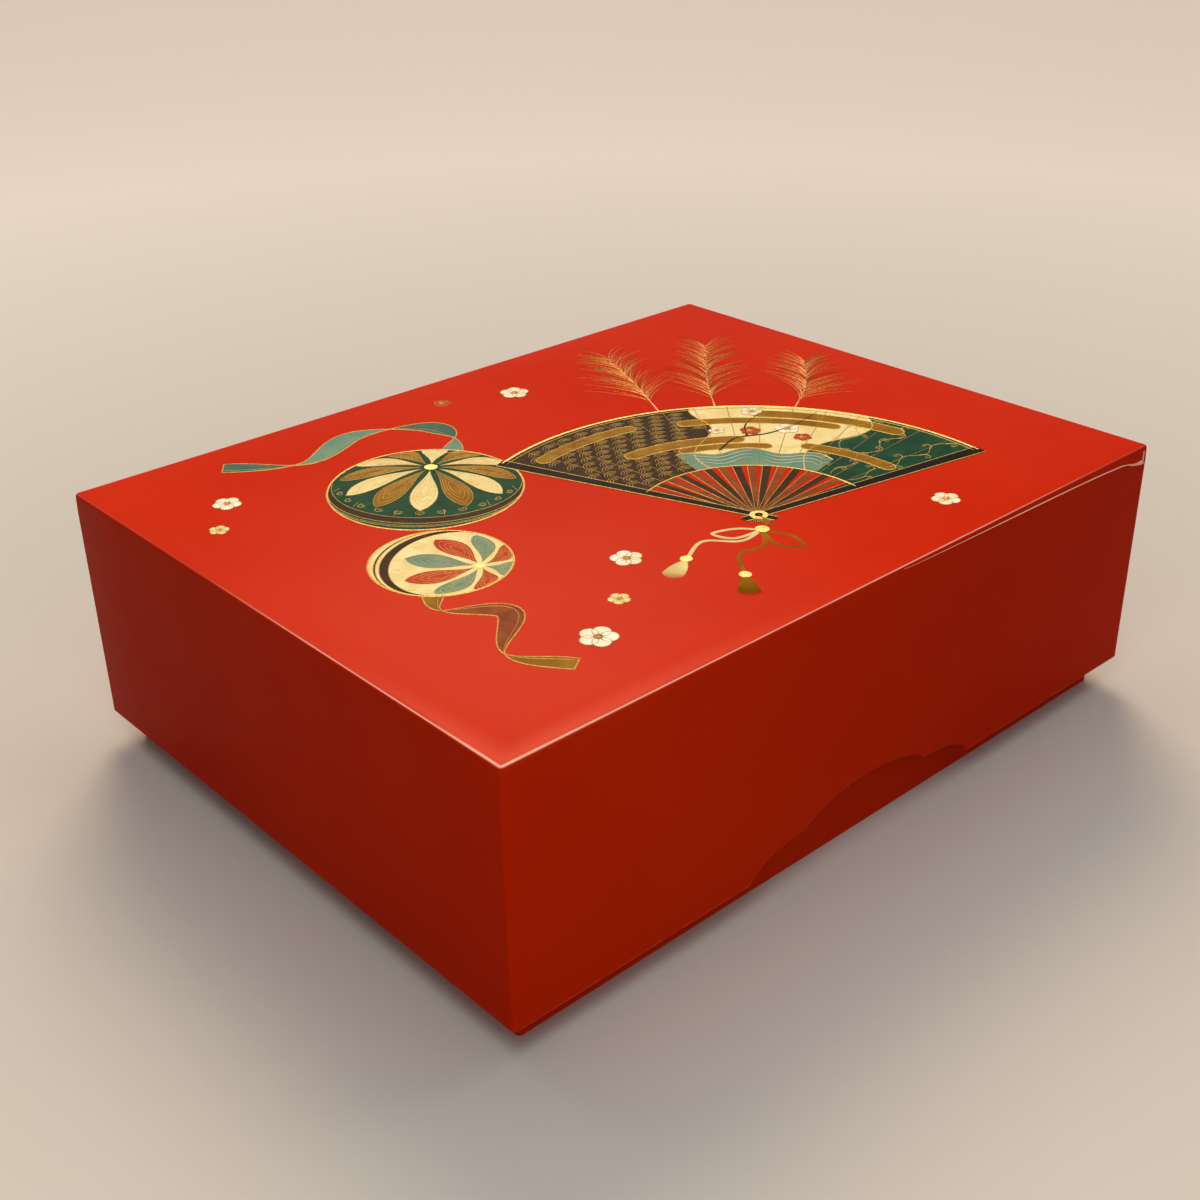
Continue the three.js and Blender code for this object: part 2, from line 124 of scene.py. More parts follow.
def plan(low, high):
    """Centre and half sizes of a box as seen from above."""
    centre = ((low[0] + high[0]) / 2, (low[1] + high[1]) / 2)
    return centre, (high[0] - low[0]) / 2, (high[1] - low[1]) / 2


def clamp(value, low=0.0, high=1.0):
    return min(max(value, low), high)


def spaced(first, last, steps):
    """Values in equal steps from first to last, both included."""
    return [first + (last - first) * i / steps for i in range(steps + 1)]


def turns(count):
    """The angles of a full turn in equal steps."""
    return [2 * pi * k / count for k in range(count)]


def ray(angle):
    """The unit arrow at an angle in radians."""
    return cmath.exp(1j * angle)


def smooth(mesh, sharp_angle=35.0):
    mesh.shade_smooth()
    mesh.set_sharp_from_angle(angle=radians(sharp_angle))


def make_mesh(name, points, faces, sharp_angle=35.0):
    mesh = bpy.data.meshes.new(name)
    mesh.from_pydata([[MM * c for c in point] for point in points], [], faces)
    smooth(mesh, sharp_angle)
    return mesh


def add_object(name, data):
    obj = bpy.data.objects.new(name, data)
    bpy.context.scene.collection.objects.link(obj)
    return obj


def make_object(name, mesh, body, materials, slot, replaces=()):
    obj = add_object(name, mesh)
    for material in materials:
        mesh.materials.append(material)
    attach(obj, body)
    if replaces:
        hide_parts(*replaces)
    return obj


# The wear attribute holds real wear and stains, and on the lid also painted sheen and highlight.
def paint_wear(mesh, values):
    mesh.attributes.new("wear", "FLOAT", "POINT").data.foreach_set("value", values)


def sweep(rings, closed=False):
    """Points and faces that join each ring to the next. An open sweep is capped at both ends."""
    count = len(rings[0])
    points = [point for ring in rings for point in ring]
    faces = []
    for k in range(len(rings) if closed else len(rings) - 1):
        a, b = k * count, (k + 1) % len(rings) * count
        faces += [(a + i, b + i, b + (i + 1) % count, a + (i + 1) % count) for i in range(count)]
    if not closed:
        faces.append(tuple(range(count)))
        faces.append(tuple(reversed(range(len(points) - count, len(points)))))
    return points, faces


def skin(name, rings, wear, closed=False, sharp_angle=35.0):
    """The mesh of a sweep. wear is how rubbed each ring is, on the lid with painted sheen and highlight in
    it, as one value or as one for each of its points.
    """
    mesh = make_mesh(name, *sweep(rings, closed), sharp_angle)
    rows = [worn if isinstance(worn, list) else [worn] * len(ring) for ring, worn in zip(rings, wear)]
    paint_wear(mesh, [value for row in rows for value in row])
    return mesh


def arc_points(cx, cy, radius, start, steps=6):
    for i in range(steps + 1):
        angle = radians(start + 90 * i / steps)
        yield cx + radius * cos(angle), cy + radius * sin(angle)


def wall_ring(half_x, half_y, radius, z, side):
    """A rounded rectangle, anticlockwise from above.

    side gives (y, z) along the +X side, and is mirrored on the -X side.
    """
    x, y = half_x - radius, half_y - radius
    ends = [x * k / 4 for k in (3, 2, 1, 0, -1, -2, -3)]
    ring = [(half_x, sy, sz) for sy, sz in side]
    ring += [(px, py, z) for px, py in arc_points(x, y, radius, 0)]
    ring += [(px, half_y, z) for px in ends]
    ring += [(px, py, z) for px, py in arc_points(-x, y, radius, 90)]
    ring += [(-half_x, sy, sz) for sy, sz in reversed(side)]
    ring += [(px, py, z) for px, py in arc_points(-x, -y, radius, 180)]
    ring += [(px, -half_y, z) for px in reversed(ends)]
    ring += [(px, py, z) for px, py in arc_points(x, -y, radius, 270)]
    return ring


def offset_curve(points, distance):
    """Moves an open curve of (y, z) to its left, with mitred corners."""
    moved = []
    for i, (y, z) in enumerate(points):
        before, after = points[max(i - 1, 0)], points[min(i + 1, len(points) - 1)]
        normals = []
        for (y0, z0), (y1, z1) in ((before, (y, z)), ((y, z), after)):
            length = hypot(y1 - y0, z1 - z0)
            if length > 0:
                normals.append((-(z1 - z0) / length, (y1 - y0) / length))
        (ay, az), (by, bz) = normals if len(normals) == 2 else normals * 2
        scale = distance / (1 + ay * by + az * bz)
        moved.append((y + (ay + by) * scale, z + (az + bz) * scale))
    return moved


def rounding(radius, steps=5):
    """(across, along) of a quarter round from its first face to its second."""
    for angle in spaced(0.0, pi / 2, steps):
        yield radius * (1 - sin(angle)), radius * (1 - cos(angle))


# Materials


def start_material(name, roughness, metallic=0.0, gloss=0.5):
    material = bpy.data.materials.new(name)
    material.use_nodes = True
    settings = {"Roughness": roughness, "Metallic": metallic, "IOR": 1.5, "Specular IOR Level": gloss}
    for key, value in settings.items():
        material.node_tree.nodes["Principled BSDF"].inputs[key].default_value = value
    return material, material.node_tree


def finish(material, colour, roughness=None, bumps=(), gloss=None):
    """Joins the outputs to the surface. Each bump is (height, depth in millimetres), one over the other."""
    tree = material.node_tree
    surface = tree.nodes["Principled BSDF"]
    normal = None
    for height, depth in bumps:
        inputs = {"Height": height, "Distance": depth * MM, "Strength": 1.0}
        if normal:
            inputs["Normal"] = normal
        normal = add_node(tree, "ShaderNodeBump", inputs).outputs["Normal"]
    joined = {"Base Color": colour, "Roughness": roughness, "Specular IOR Level": gloss, "Normal": normal}
    for key, output in joined.items():
        if output:
            tree.links.new(output, surface.inputs[key])
    return material


def add_node(tree, kind, inputs=(), **settings):
    """Adds a node. Each input is a value or another node's output."""
    node = tree.nodes.new(kind)
    for key, value in settings.items():
        setattr(node, key, value)
    for key, value in dict(inputs).items():
        if isinstance(value, bpy.types.NodeSocket):
            tree.links.new(value, node.inputs[key])
        else:
            node.inputs[key].default_value = value
    return node


def place(tree):
    return add_node(tree, "ShaderNodeTexCoord").outputs["Object"]


def wear_here(tree):
    return add_node(tree, "ShaderNodeAttribute", attribute_name="wear").outputs["Fac"]


def calculate(tree, operation, first, second):
    return add_node(tree, "ShaderNodeMath", {0: first, 1: second}, operation=operation).outputs[0]


def noise(tree, size, detail=3.0, distortion=0.0, squeeze=None):
    """Noise with features about size millimetres across, drawn out along an axis where squeeze is below 1."""
    vector = place(tree)
    if squeeze:
        inputs = {0: vector, 1: squeeze}
        vector = add_node(tree, "ShaderNodeVectorMath", inputs, operation="MULTIPLY").outputs[0]
    inputs = {"Vector": vector, "Scale": 1 / (size * MM), "Detail": detail, "Distortion": distortion}
    return add_node(tree, "ShaderNodeTexNoise", inputs).outputs["Fac"]


def ramp(tree, factor, *stops):
    """A colour ramp. Each stop is a position with an sRGB colour from 0 to 255 or a grey from 0 to 1."""
    node = add_node(tree, "ShaderNodeValToRGB", {"Fac": factor})
    elements = node.color_ramp.elements
    elements.remove(elements[1])
    elements[0].position = stops[0][0]
    for position, _ in stops[1:]:
        elements.new(position)
    for element, (_, colour) in zip(elements, stops):
        element.color = srgb(colour) if isinstance(colour, tuple) else (colour, colour, colour, 1.0)
    return node.outputs["Color"]


def blend_colour(tree, factor, first, second):
    node = add_node(tree, "ShaderNodeMix", {"Factor": factor}, data_type="RGBA")
    for socket, value in ((node.inputs[6], first), (node.inputs[7], second)):
        if isinstance(value, bpy.types.NodeSocket):
            tree.links.new(value, socket)
        else:
            socket.default_value = srgb(value)
    return node.outputs[2]


def srgb(colour):
    linear = [((c / 255 + 0.055) / 1.055) ** 2.4 if c > 10 else c / 255 / 12.92 for c in colour]
    return (*linear, 1.0)


def lacquer(name, shades, worn, roughness, gloss, rubbed_gloss=None, least_rubbed=0.15):
    """Hand-polished lacquer: uneven depth of colour, faint ripples, smudges, dust nibs and rubbed edges,
    whose worn colour on the lid's red rim and edge is a painted sheen and highlight.
    """
    material, tree = start_material(name, roughness, gloss=gloss)
    depth = ramp(tree, noise(tree, 90), (0.3, shades[0]), (0.7, shades[1]))
    patchy = ramp(tree, noise(tree, 9, 4.0), (0.35, least_rubbed), (0.65, 1.0))
    rubbed = calculate(tree, "MULTIPLY", wear_here(tree), patchy)
    shine = None
    if rubbed_gloss is not None:
        shine = add_node(tree, "ShaderNodeMapRange", {0: rubbed, 3: gloss, 4: rubbed_gloss}).outputs[0]
    # On the red lid the rubbed mask and worn colour also paint sheen and highlight lines.
    colour = blend_colour(tree, rubbed, depth, worn)
    nibs = ramp(tree, noise(tree, 1.6, 1.0), (0.79, 0.0), (0.83, 0.35))
    colour = blend_colour(tree, nibs, colour, worn)
    smudge = ramp(tree, noise(tree, 28, 5.0, 1.2), (0.4, roughness), (0.75, roughness + 0.02))
    bumps = [(noise(tree, 60, 2.0), 0.04), (noise(tree, 5, 2.0), 0.002), (nibs, 0.02)]
    return finish(material, colour, smudge, bumps, shine)


def paint(name, colour, shade, roughness=0.32, size=7.0, gloss=0.012):
    """Coloured lacquer laid on with a brush: patches of a second shade, a fine grain and a soft gloss."""
    material, tree = start_material(name, roughness, gloss=gloss)
    patchy = ramp(tree, noise(tree, size, 5.0, 0.6), (0.38, 0.0), (0.68, 1.0))
    mixed = blend_colour(tree, patchy, colour, shade)
    grain = ramp(tree, noise(tree, 1.5, 3.0), (0.3, roughness - 0.05), (0.7, roughness + 0.08))
    return finish(material, mixed, grain, [(noise(tree, 2.2, 3.0), 0.02)])


def gold_powder(name, colour, shade):
    """Gold powder sprinkled on wet lacquer, thinner in places."""
    material, tree = start_material(name, 0.42, metallic=0.45)
    cover = ramp(tree, noise(tree, 0.8, 4.0), (0.42, 0.0), (0.58, 1.0))
    grain = ramp(tree, noise(tree, 0.5, 2.0), (0.3, 0.32), (0.7, 0.5))
    return finish(material, blend_colour(tree, cover, shade, colour), grain, [(noise(tree, 0.4, 2.0), 0.03)])


def slate(name):
    """Fine grey-black stone with faint bands, darkened and glossed by dried ink where the wear is high."""
    material, tree = start_material(name, 0.5, gloss=0.4)
    banded = noise(tree, 14, 6.0, 0.4, (1.0, 0.25, 1.0))
    stone = ramp(tree, banded, (0.35, (52, 54, 58)), (0.5, (66, 68, 72)), (0.7, (84, 86, 90)))
    speck = ramp(tree, noise(tree, 0.7, 2.0), (0.66, 0.0), (0.72, 0.5))
    stone = blend_colour(tree, speck, stone, (122, 124, 126))
    ragged = calculate(tree, "ADD", wear_here(tree), noise(tree, 6, 4.0))
    inked = ramp(tree, ragged, (0.75, 0.0), (1.05, 1.0))
    shine = ramp(tree, ragged, (0.75, 0.55), (1.05, 0.24))
    bumps = [(noise(tree, 1.0, 3.0), 0.03), (banded, 0.05)]
    return finish(material, blend_colour(tree, inked, stone, (14, 13, 14)), shine, bumps)


def bronze(name):
    """Darkened brass that is rubbed bright on raised edges."""
    material, tree = start_material(name, 0.38, metallic=0.85)
    browns = ((0.35, (92, 64, 34)), (0.55, (134, 98, 50)), (0.75, (168, 128, 68)))
    patina = ramp(tree, noise(tree, 11, 5.0, 0.8), *browns)
    colour = blend_colour(tree, wear_here(tree), patina, (222, 186, 112))
    grain = ramp(tree, noise(tree, 3, 4.0), (0.3, 0.28), (0.7, 0.5))
    return finish(material, colour, grain, [(noise(tree, 2.5, 4.0), 0.03)])


def bamboo(name, light, dark):
    """Smoked bamboo: long fibres, mottled stain and darker joints."""
    material, tree = start_material(name, 0.34, gloss=0.4)
    fibres = noise(tree, 0.8, 3.0, 0.0, (1.0, 0.03, 1.0))
    cane = ramp(tree, fibres, (0.3, dark), (0.6, light))
    mottle = ramp(tree, noise(tree, 16, 5.0, 1.0, (1.0, 0.4, 1.0)), (0.52, 0.0), (0.72, 0.55))
    cane = blend_colour(tree, mottle, cane, (112, 70, 36))
    grain = ramp(tree, fibres, (0.3, 0.28), (0.7, 0.44))
    return finish(material, blend_colour(tree, wear_here(tree), cane, (84, 52, 28)), grain, [(fibres, 0.03)])


def bristle(name):
    """Goat hair, darker with ink towards its point, where the wear attribute rises."""
    material, tree = start_material(name, 0.6, gloss=0.3)
    lengthwise = noise(tree, 0.4, 2.0, 0.0, (1.0, 0.04, 1.0))
    strand = ramp(tree, lengthwise, (0.3, (196, 170, 128)), (0.7, (238, 224, 192)))
    bumps = [(noise(tree, 0.3, 2.0, 0.0, (1.0, 0.05, 1.0)), 0.05)]
    return finish(material, blend_colour(tree, wear_here(tree), strand, (46, 38, 34)), bumps=bumps)


def flecked(name):
    """Dark lacquer ground sown with gold flakes under a clear coat."""
    material, tree = start_material(name, 0.24, gloss=0.18)
    ground = ramp(tree, noise(tree, 40), (0.3, (24, 15, 11)), (0.7, (34, 21, 14)))
    flakes = ramp(tree, noise(tree, 0.9, 2.0), (0.63, 0.0), (0.67, 1.0))
    drift = ramp(tree, noise(tree, 30, 3.0), (0.35, 0.25), (0.65, 1.0))
    colour = blend_colour(tree, calculate(tree, "MULTIPLY", flakes, drift), ground, (206, 156, 70))
    return finish(material, colour, bumps=[(flakes, 0.01), (noise(tree, 60, 2.0), 0.03)])


RED_SHADES = ((198, 36, 2), (205, 43, 4))
# The worn colours of the red rim and edge are a painted sheen and a painted highlight; the plain red's worn
# colour also paints the light line on the lid's lower edge, beside real wear.
RED = lacquer("red_lacquer", RED_SHADES, (232, 92, 58), 0.14, 0.008)
RED_SHEEN_RIM = lacquer("red_lacquer_rim_painted_sheen", RED_SHADES, (216, 64, 32), 0.2, 0.008, 0.035, 0.8)
RED_HIGHLIGHT_EDGE = lacquer("red_lacquer_edge_painted_highlight", RED_SHADES, (255, 212, 182), 0.26, 0.02, 1.0, 0.8)
BLACK = lacquer("black_lacquer", ((16, 13, 12), (22, 18, 17)), (70, 52, 44), 0.14, 0.3)
CREAM = paint("cream_paint", (244, 228, 168), (234, 210, 140))
WHITE = paint("white_paint", (252, 248, 226), (240, 228, 190))
GREEN = paint("dark_green_paint", (16, 62, 42), (26, 78, 52))
MUSTARD = paint("mustard_paint", (158, 112, 22), (132, 90, 16), size=12.0)
TEAL = paint("teal_paint", (98, 140, 122), (122, 152, 128), size=10.0)
DEEP_TEAL = paint("deep_teal_paint", (62, 100, 88), (78, 112, 96))
BROWN = paint("dark_brown_paint", (50, 34, 18), (66, 46, 24))
WARM_BROWN = paint("warm_brown_paint", (150, 74, 30), (122, 56, 24))
PAINT_BLACK = paint("black_paint", (16, 12, 10), (28, 22, 18))
# Pale paint on the raised line under the lid's top edge: a painted highlight.
RIDGE_HIGHLIGHT = paint("ridge_painted_highlight", (255, 198, 168), (252, 168, 132), 0.2, gloss=0.2)
CORAL = paint("coral_paint", (196, 66, 36), (176, 50, 26))
GOLD = gold_powder("gold_line", (236, 196, 104), (196, 150, 66))
OLD_GOLD = gold_powder("old_gold_line", (190, 140, 52), (146, 96, 34))
STRAW = gold_powder("straw_gold", (214, 150, 56), (176, 108, 36))
STONE = slate("slate")
METAL = bronze("darkened_brass")
CANE = bamboo("bamboo", (206, 164, 98), (172, 126, 68))
HAIR = bristle("brush_hair")
FLECKED = flecked("flecked_lacquer")
INK = paint("ink", (22, 22, 26), (32, 31, 36), 0.42, 5.0, 0.2)


# Lid and body shells


def notch_curve(z, half_length):
    """(y, z) along the lower edge of the lid's long side, from the -Y end to the +Y end."""
    cusp = acos((NOTCH_ARCH_HALF - NOTCH_LOBE_CENTRE) / NOTCH_LOBE_HALF)
    cusp_rise = NOTCH_LOBE_RISE * sin(cusp) ** NOTCH_FULLNESS
    right = [(half_length * k, z) for k in (1.0, 0.85, 0.7, 0.55)]
    for angle in spaced(0.0, cusp, NOTCH_STEPS)[:-1]:
        y = NOTCH_LOBE_CENTRE + NOTCH_LOBE_HALF * cos(angle)
        right.append((y, z + NOTCH_LOBE_RISE * sin(angle) ** NOTCH_FULLNESS))
    for angle in spaced(0.0, pi / 2, NOTCH_STEPS)[:-1]:
        rise = cusp_rise + NOTCH_ARCH_RISE * sin(angle) ** NOTCH_FULLNESS
        right.append((NOTCH_ARCH_HALF * cos(angle), z + rise))
    left = [(-y, rise) for y, rise in right]
    return [*left, (0.0, z + cusp_rise + NOTCH_ARCH_RISE), *reversed(right)]


def shell_ring(low, high, corner, inset, z, curve, follow=None):
    """One ring of a shell. follow is how far above the lower edge's curve the ring runs on the long sides."""
    _, half_x, half_y = plan(low, high)
    half_x, half_y = half_x - inset, half_y - inset
    side = [(y, z) for y, _ in curve] if follow is None else offset_curve(curve, follow)
    side = [(clamp(y, corner - half_y, half_y - corner), sz) for y, sz in side]
    radius = max(corner - inset, LEAST_CORNER) if inset < corner else INNER_CORNER
    return wall_ring(half_x, half_y, radius, z, side)


def lid_wear_and_highlights(low, high):
    """Three functions for how rubbed the lid is and where light is painted on it: a painted sheen on its top
    face, and rub with a painted highlight line on its top edge and on its lower edge.
    """
    def away(point):
        """How far a point lies from the near right corner: 0 there, 1 at the far end of the long side."""
        return 1.6 * (high[0] - point[0]) / (high[0] - low[0]) + (point[1] - low[1]) / (high[1] - low[1])

    def sheen(share):
        """The top gleams softly along its edges next to the near right corner."""
        strength = LID_PAINTED_SHEEN * max(1 - share, 0.0) ** 1.5
        return lambda point: strength * clamp((LID_PAINTED_SHEEN_REACH - away(point)) / 0.4)

    def rubbed(off_crest):
        """The top edge is rubbed and painted with a highlight line, widest at the near right corner, and
        narrower and less away from it.
        """
        def worn(point):
            narrowing = 0.8 + 0.9 * min(away(point) / 0.3, 1.0)
            strength = clamp((LID_RUB_AND_HIGHLIGHT_REACH - away(point)) / 0.3, LID_LEAST_RUB_AND_HIGHLIGHT)
            return strength * max(1 - narrowing * off_crest, 0.0)
        return worn

    def lip_rub_and_highlight(point):
        """The lower edge is rubbed and painted with a light highlight line where it is straight, and hardly
        in the finger notches.
        """
        return LID_NOTCH_RUB_AND_HIGHLIGHT if point[2] > low[2] + 1.0 else 1.0

    return sheen, rubbed, lip_rub_and_highlight


def build_lid(nodes):
    low, high = reach(*nodes)
    top, bottom, ceiling = high[2], low[2], high[2] - LID_TOP
    curve = notch_curve(bottom, plan(low, high)[2] - LID_CORNER - NOTCH_MARGIN)
    sheen, rubbed, lip_rub_and_highlight = lid_wear_and_highlights(low, high)
    rings, wear = [], []

    def ring(inset, z, worn=0.0, follow=None):
        rings.append(shell_ring(low, high, LID_CORNER, inset, z, curve, follow))
        wear.append([worn(point) for point in rings[-1]] if callable(worn) else worn)

    # Painted sheen: the top's rings near its edge are painted lighter next to the near right corner.
    for share in LID_FALL_SHARES:
        fall = LID_FALL * max(1 - share, 0) ** 2
        ring(LID_ROLL + LID_EDGE + share * LID_FALL_WIDTH, top - fall, sheen(share))
    # The top edge's rounding: rubbed lacquer with a painted highlight line.
    for across, along in rounding(LID_EDGE, LID_EDGE_STEPS):
        ring(LID_ROLL + across, top - LID_FALL - along, rubbed(abs(across - LID_CREST * along) / LID_EDGE))
    for share in (0.9, 0.72, 0.54, 0.36, 0.18, 0.0):
        ring(LID_ROLL * share**2, top - LID_ROLL_DEPTH + (LID_ROLL_DEPTH - LID_EDGE) * share)
    ring(0.0, bottom + LID_PLAIN_FROM)
    ring(0.0, bottom + LID_LIP + EDGE_GAP, follow=LID_LIP + EDGE_GAP)
    # The lower edge: rubbed lacquer with a painted highlight line, faint in the notches.
    for across, along in rounding(LID_LIP):
        ring(along, bottom + across, lip_rub_and_highlight, across)
    for across, along in rounding(LID_LIP):
        ring(LID_WALL - across, bottom + along, LID_INNER_WEAR, along)
    inner = len(rings) - 1
    ring(LID_WALL, bottom + LID_LIP + EDGE_GAP, follow=LID_LIP + EDGE_GAP)
    ring(LID_WALL, bottom + LID_PLAIN_FROM)
    ring(LID_WALL, ceiling - LID_CEILING_EDGE - EDGE_GAP)
    for across, along in rounding(LID_CEILING_EDGE):
        ring(LID_WALL + along, ceiling - across)
    ring(LID_WALL + LID_CEILING_EDGE + 0.5, ceiling)
    mesh = skin("lid_shell", rings, wear)
    count, rim = len(rings[0]), len(LID_FALL_SHARES)
    # The rim and edge materials turn the wear values into a painted sheen and a painted highlight.
    bands = ((0, rim, 2), (rim, rim + 1 + LID_EDGE_STEPS // 2, 3), (inner, len(rings) - 1, 1))
    for first, last, used in bands:
        for index in range(first * count, last * count):
            mesh.polygons[index].material_index = used
    mesh.polygons[len(mesh.polygons) - 1].material_index = 1
    make_object("lid_shell", mesh, "lid", [RED, BLACK, RED_SHEEN_RIM, RED_HIGHLIGHT_EDGE], "red_lacquer", nodes)


def frame_nodes(prefix):
    sides = [f"{prefix}_{side}_board" for side in ("front", "back", "left", "right")]
    corners = ("front_left", "front_right", "back_left", "back_right")
    return [*sides, *(f"{prefix}_key_{corner}" for corner in corners)]


def build_wall(prefix, body, wall, corner, edge, materials, slot):
    """Four walls in one: up the outside, over the rim and down the inside."""
    nodes = frame_nodes(prefix)
    low, high = reach(*nodes)
    top, bottom, half_y = high[2], low[2], plan(low, high)[2]
    curve = [(half_y * k / 8, 0.0) for k in range(-7, 8)]
    rings, wear = [], []

    def ring(inset, z, worn=0.0):
        rings.append(shell_ring(low, high, corner, inset, z, curve))
        wear.append(worn)

    ring(0.0, top - edge - EDGE_GAP)
    ring(0.0, bottom + edge + EDGE_GAP)
    for across, along in rounding(edge):
        ring(along, bottom + across, FOOT_WEAR)
    for across, along in rounding(edge):
        ring(wall - across, bottom + along)
    inner = len(rings) - 1
    ring(wall, bottom + edge + EDGE_GAP)
    ring(wall, top - edge - EDGE_GAP)
    for across, along in rounding(edge):
        ring(wall - along, top - across, RIM_WEAR)
    inner_end = len(rings) - 1
    for across, along in rounding(edge):
        ring(across, top - along, RIM_WEAR)
    mesh = skin(f"{prefix}_shell", rings, wear, closed=True)
    for index in range(inner * len(rings[0]), inner_end * len(rings[0])):
        mesh.polygons[index].material_index = len(materials) - 1
    make_object(f"{prefix}_shell", mesh, body, materials, slot, nodes)


def build_shells():
    build_lid(["lid_top_board", *frame_nodes("lid")])
    build_wall("body", "box_body", BODY_WALL, BODY_CORNER, BODY_EDGE, [RED, BLACK], "red_lacquer")
    build_wall("tray", "tray", TRAY_WALL, TRAY_CORNER, TRAY_EDGE, [BLACK], "black_lacquer")


# Drawing tools for raised patterns

LID_FACE = reach("lid_top_board")[1][2]
PATTERN_SINK = 0.15
STROKE_SINK = 0.05


def on_level(body, slot, height):
    """A level face to draw on: the body it belongs to, its finish, and where a point of the drawing lies."""
    return body, slot, lambda p, z: (p.real, p.imag, height + z)


ON_LID = on_level("lid", "red_lacquer", LID_FACE)


def smooth_path(marks, steps=8):
    """A smooth curve through the marks."""
    padded = [2 * marks[0] - marks[1], *marks, 2 * marks[-1] - marks[-2]]
    path = []
    for a, b, c, d in zip(padded, padded[1:], padded[2:], padded[3:]):
        for i in range(steps):
            t = i / steps
            bend = (2 * a - 5 * b + 4 * c - d) * t**2 + (3 * b - a - 3 * c + d) * t**3
            path.append(b + 0.5 * ((c - a) * t + bend))
    return [*path, marks[-1]]


def circle(centre, radius, steps=36):
    return [centre + radius * ray(angle) for angle in turns(steps)]


def looped(outline):
    return [*outline, outline[0]]


def headings(path):
    """Unit direction of travel at each point of a path, carried round the join where it closes."""
    closed = abs(path[0] - path[-1]) < 0.001
    last = len(path) - 1
    result = []
    for i in range(len(path)):
        before = path[i - 1] if i > 0 else path[last - 1 if closed else 0]
        after = path[i + 1] if i < last else path[1 if closed else last]
        result.append((after - before) / abs(after - before))
    return result


def pointed(width):
    """A stroke that is thin at both ends."""
    return lambda t: width * (0.12 + 0.88 * sin(pi * t) ** 0.6)


def whisker(width):
    """A stroke that thins out to its far end."""
    return lambda t: width * (0.1 + 0.9 * (1 - t) ** 0.7)


def at_share(value, share):
    return value(share) if callable(value) else value


def patches(name, outlines, level, material, face=ON_LID):
    """Flat raised areas whose faces lie level millimetres above the face they are drawn on."""
    body, slot, put = face
    points, faces = [], []
    for outline in outlines:
        turn = sum((a.conjugate() * b).imag for a, b in zip(outline, [*outline[1:], outline[0]]))
        ring = outline if turn > 0 else outline[::-1]
        start, count = len(points), len(ring)
        points += [put(p, level) for p in ring]
        points += [put(p, -PATTERN_SINK) for p in ring]
        faces.append(tuple(range(start, start + count)))
        faces.append(tuple(range(start + 2 * count - 1, start + count - 1, -1)))
        for i in range(count):
            j = (i + 1) % count
            faces.append((start + i, start + count + i, start + count + j, start + j))
    make_object(name, make_mesh(name, points, faces), body, [material], slot)


def lines(name, strokes, level, material, rise=0.12, face=ON_LID):
    """Raised lines with a crest. A stroke is a path and its width.

    Width and rise are values, or functions of the share travelled.
    """
    body, slot, put = face
    points, faces = [], []
    for path, width in strokes:
        start, last = len(points), len(path) - 1
        for i, (p, heading) in enumerate(zip(path, headings(path))):
            side = 0.5j * heading * at_share(width, i / last)
            low, crest = level - STROKE_SINK, level + at_share(rise, i / last)
            points += [put(p + side, low), put(p, crest), put(p - side, low)]
        for i in range(last):
            a, b = start + 3 * i, start + 3 * (i + 1)
            faces += [(a, a + 1, b + 1, b), (a + 1, a + 2, b + 2, b + 1), (a + 2, a, b, b + 2)]
        end = start + 3 * last
        faces += [(start, start + 2, start + 1), (end, end + 1, end + 2)]
    make_object(name, make_mesh(name, points, faces), body, [material], slot)


def tendril(start, heading, size, turn, steps=20):
    """A curl that leaves start along heading and winds up, to the left for turn 1 and right for turn -1."""
    path, point, step = [start], start, 0.34 * size
    for i in range(steps):
        heading *= ray(turn * radians(14 + 1.6 * i))
        point += step * heading
        step *= 0.93
        path.append(point)
    return path


def blossom(centre, radius, turn=0.0, count=5):
    """Outlines of round petals about a centre."""
    return [circle(centre + 0.52 * radius * ray(turn + angle), 0.46 * radius, 18) for angle in turns(count)]


def stamens(centre, radius, turn=0.0, count=10):
    """Fine rays from the middle of a blossom."""
    return [([centre, centre + 0.5 * radius * ray(turn + angle)], whisker(0.5)) for angle in turns(count)]


def petals(name, edge_name, outlines, level, material, edge, rise):
    """Petals that lie one over the other, each with a gold edge."""
    for n, petal in enumerate(outlines):
        patches(f"{name}_{n}", [petal], level + 0.003 * n, material)
        lines(f"{edge_name}_{n}", [(looped(petal), edge)], level + 0.003 * n, OLD_GOLD, rise)


# The thin raised line under the lid's top edge, painted pale as a highlight

RIDGE_START = 0.535
RIDGE_CURL_LENGTH = 17.0


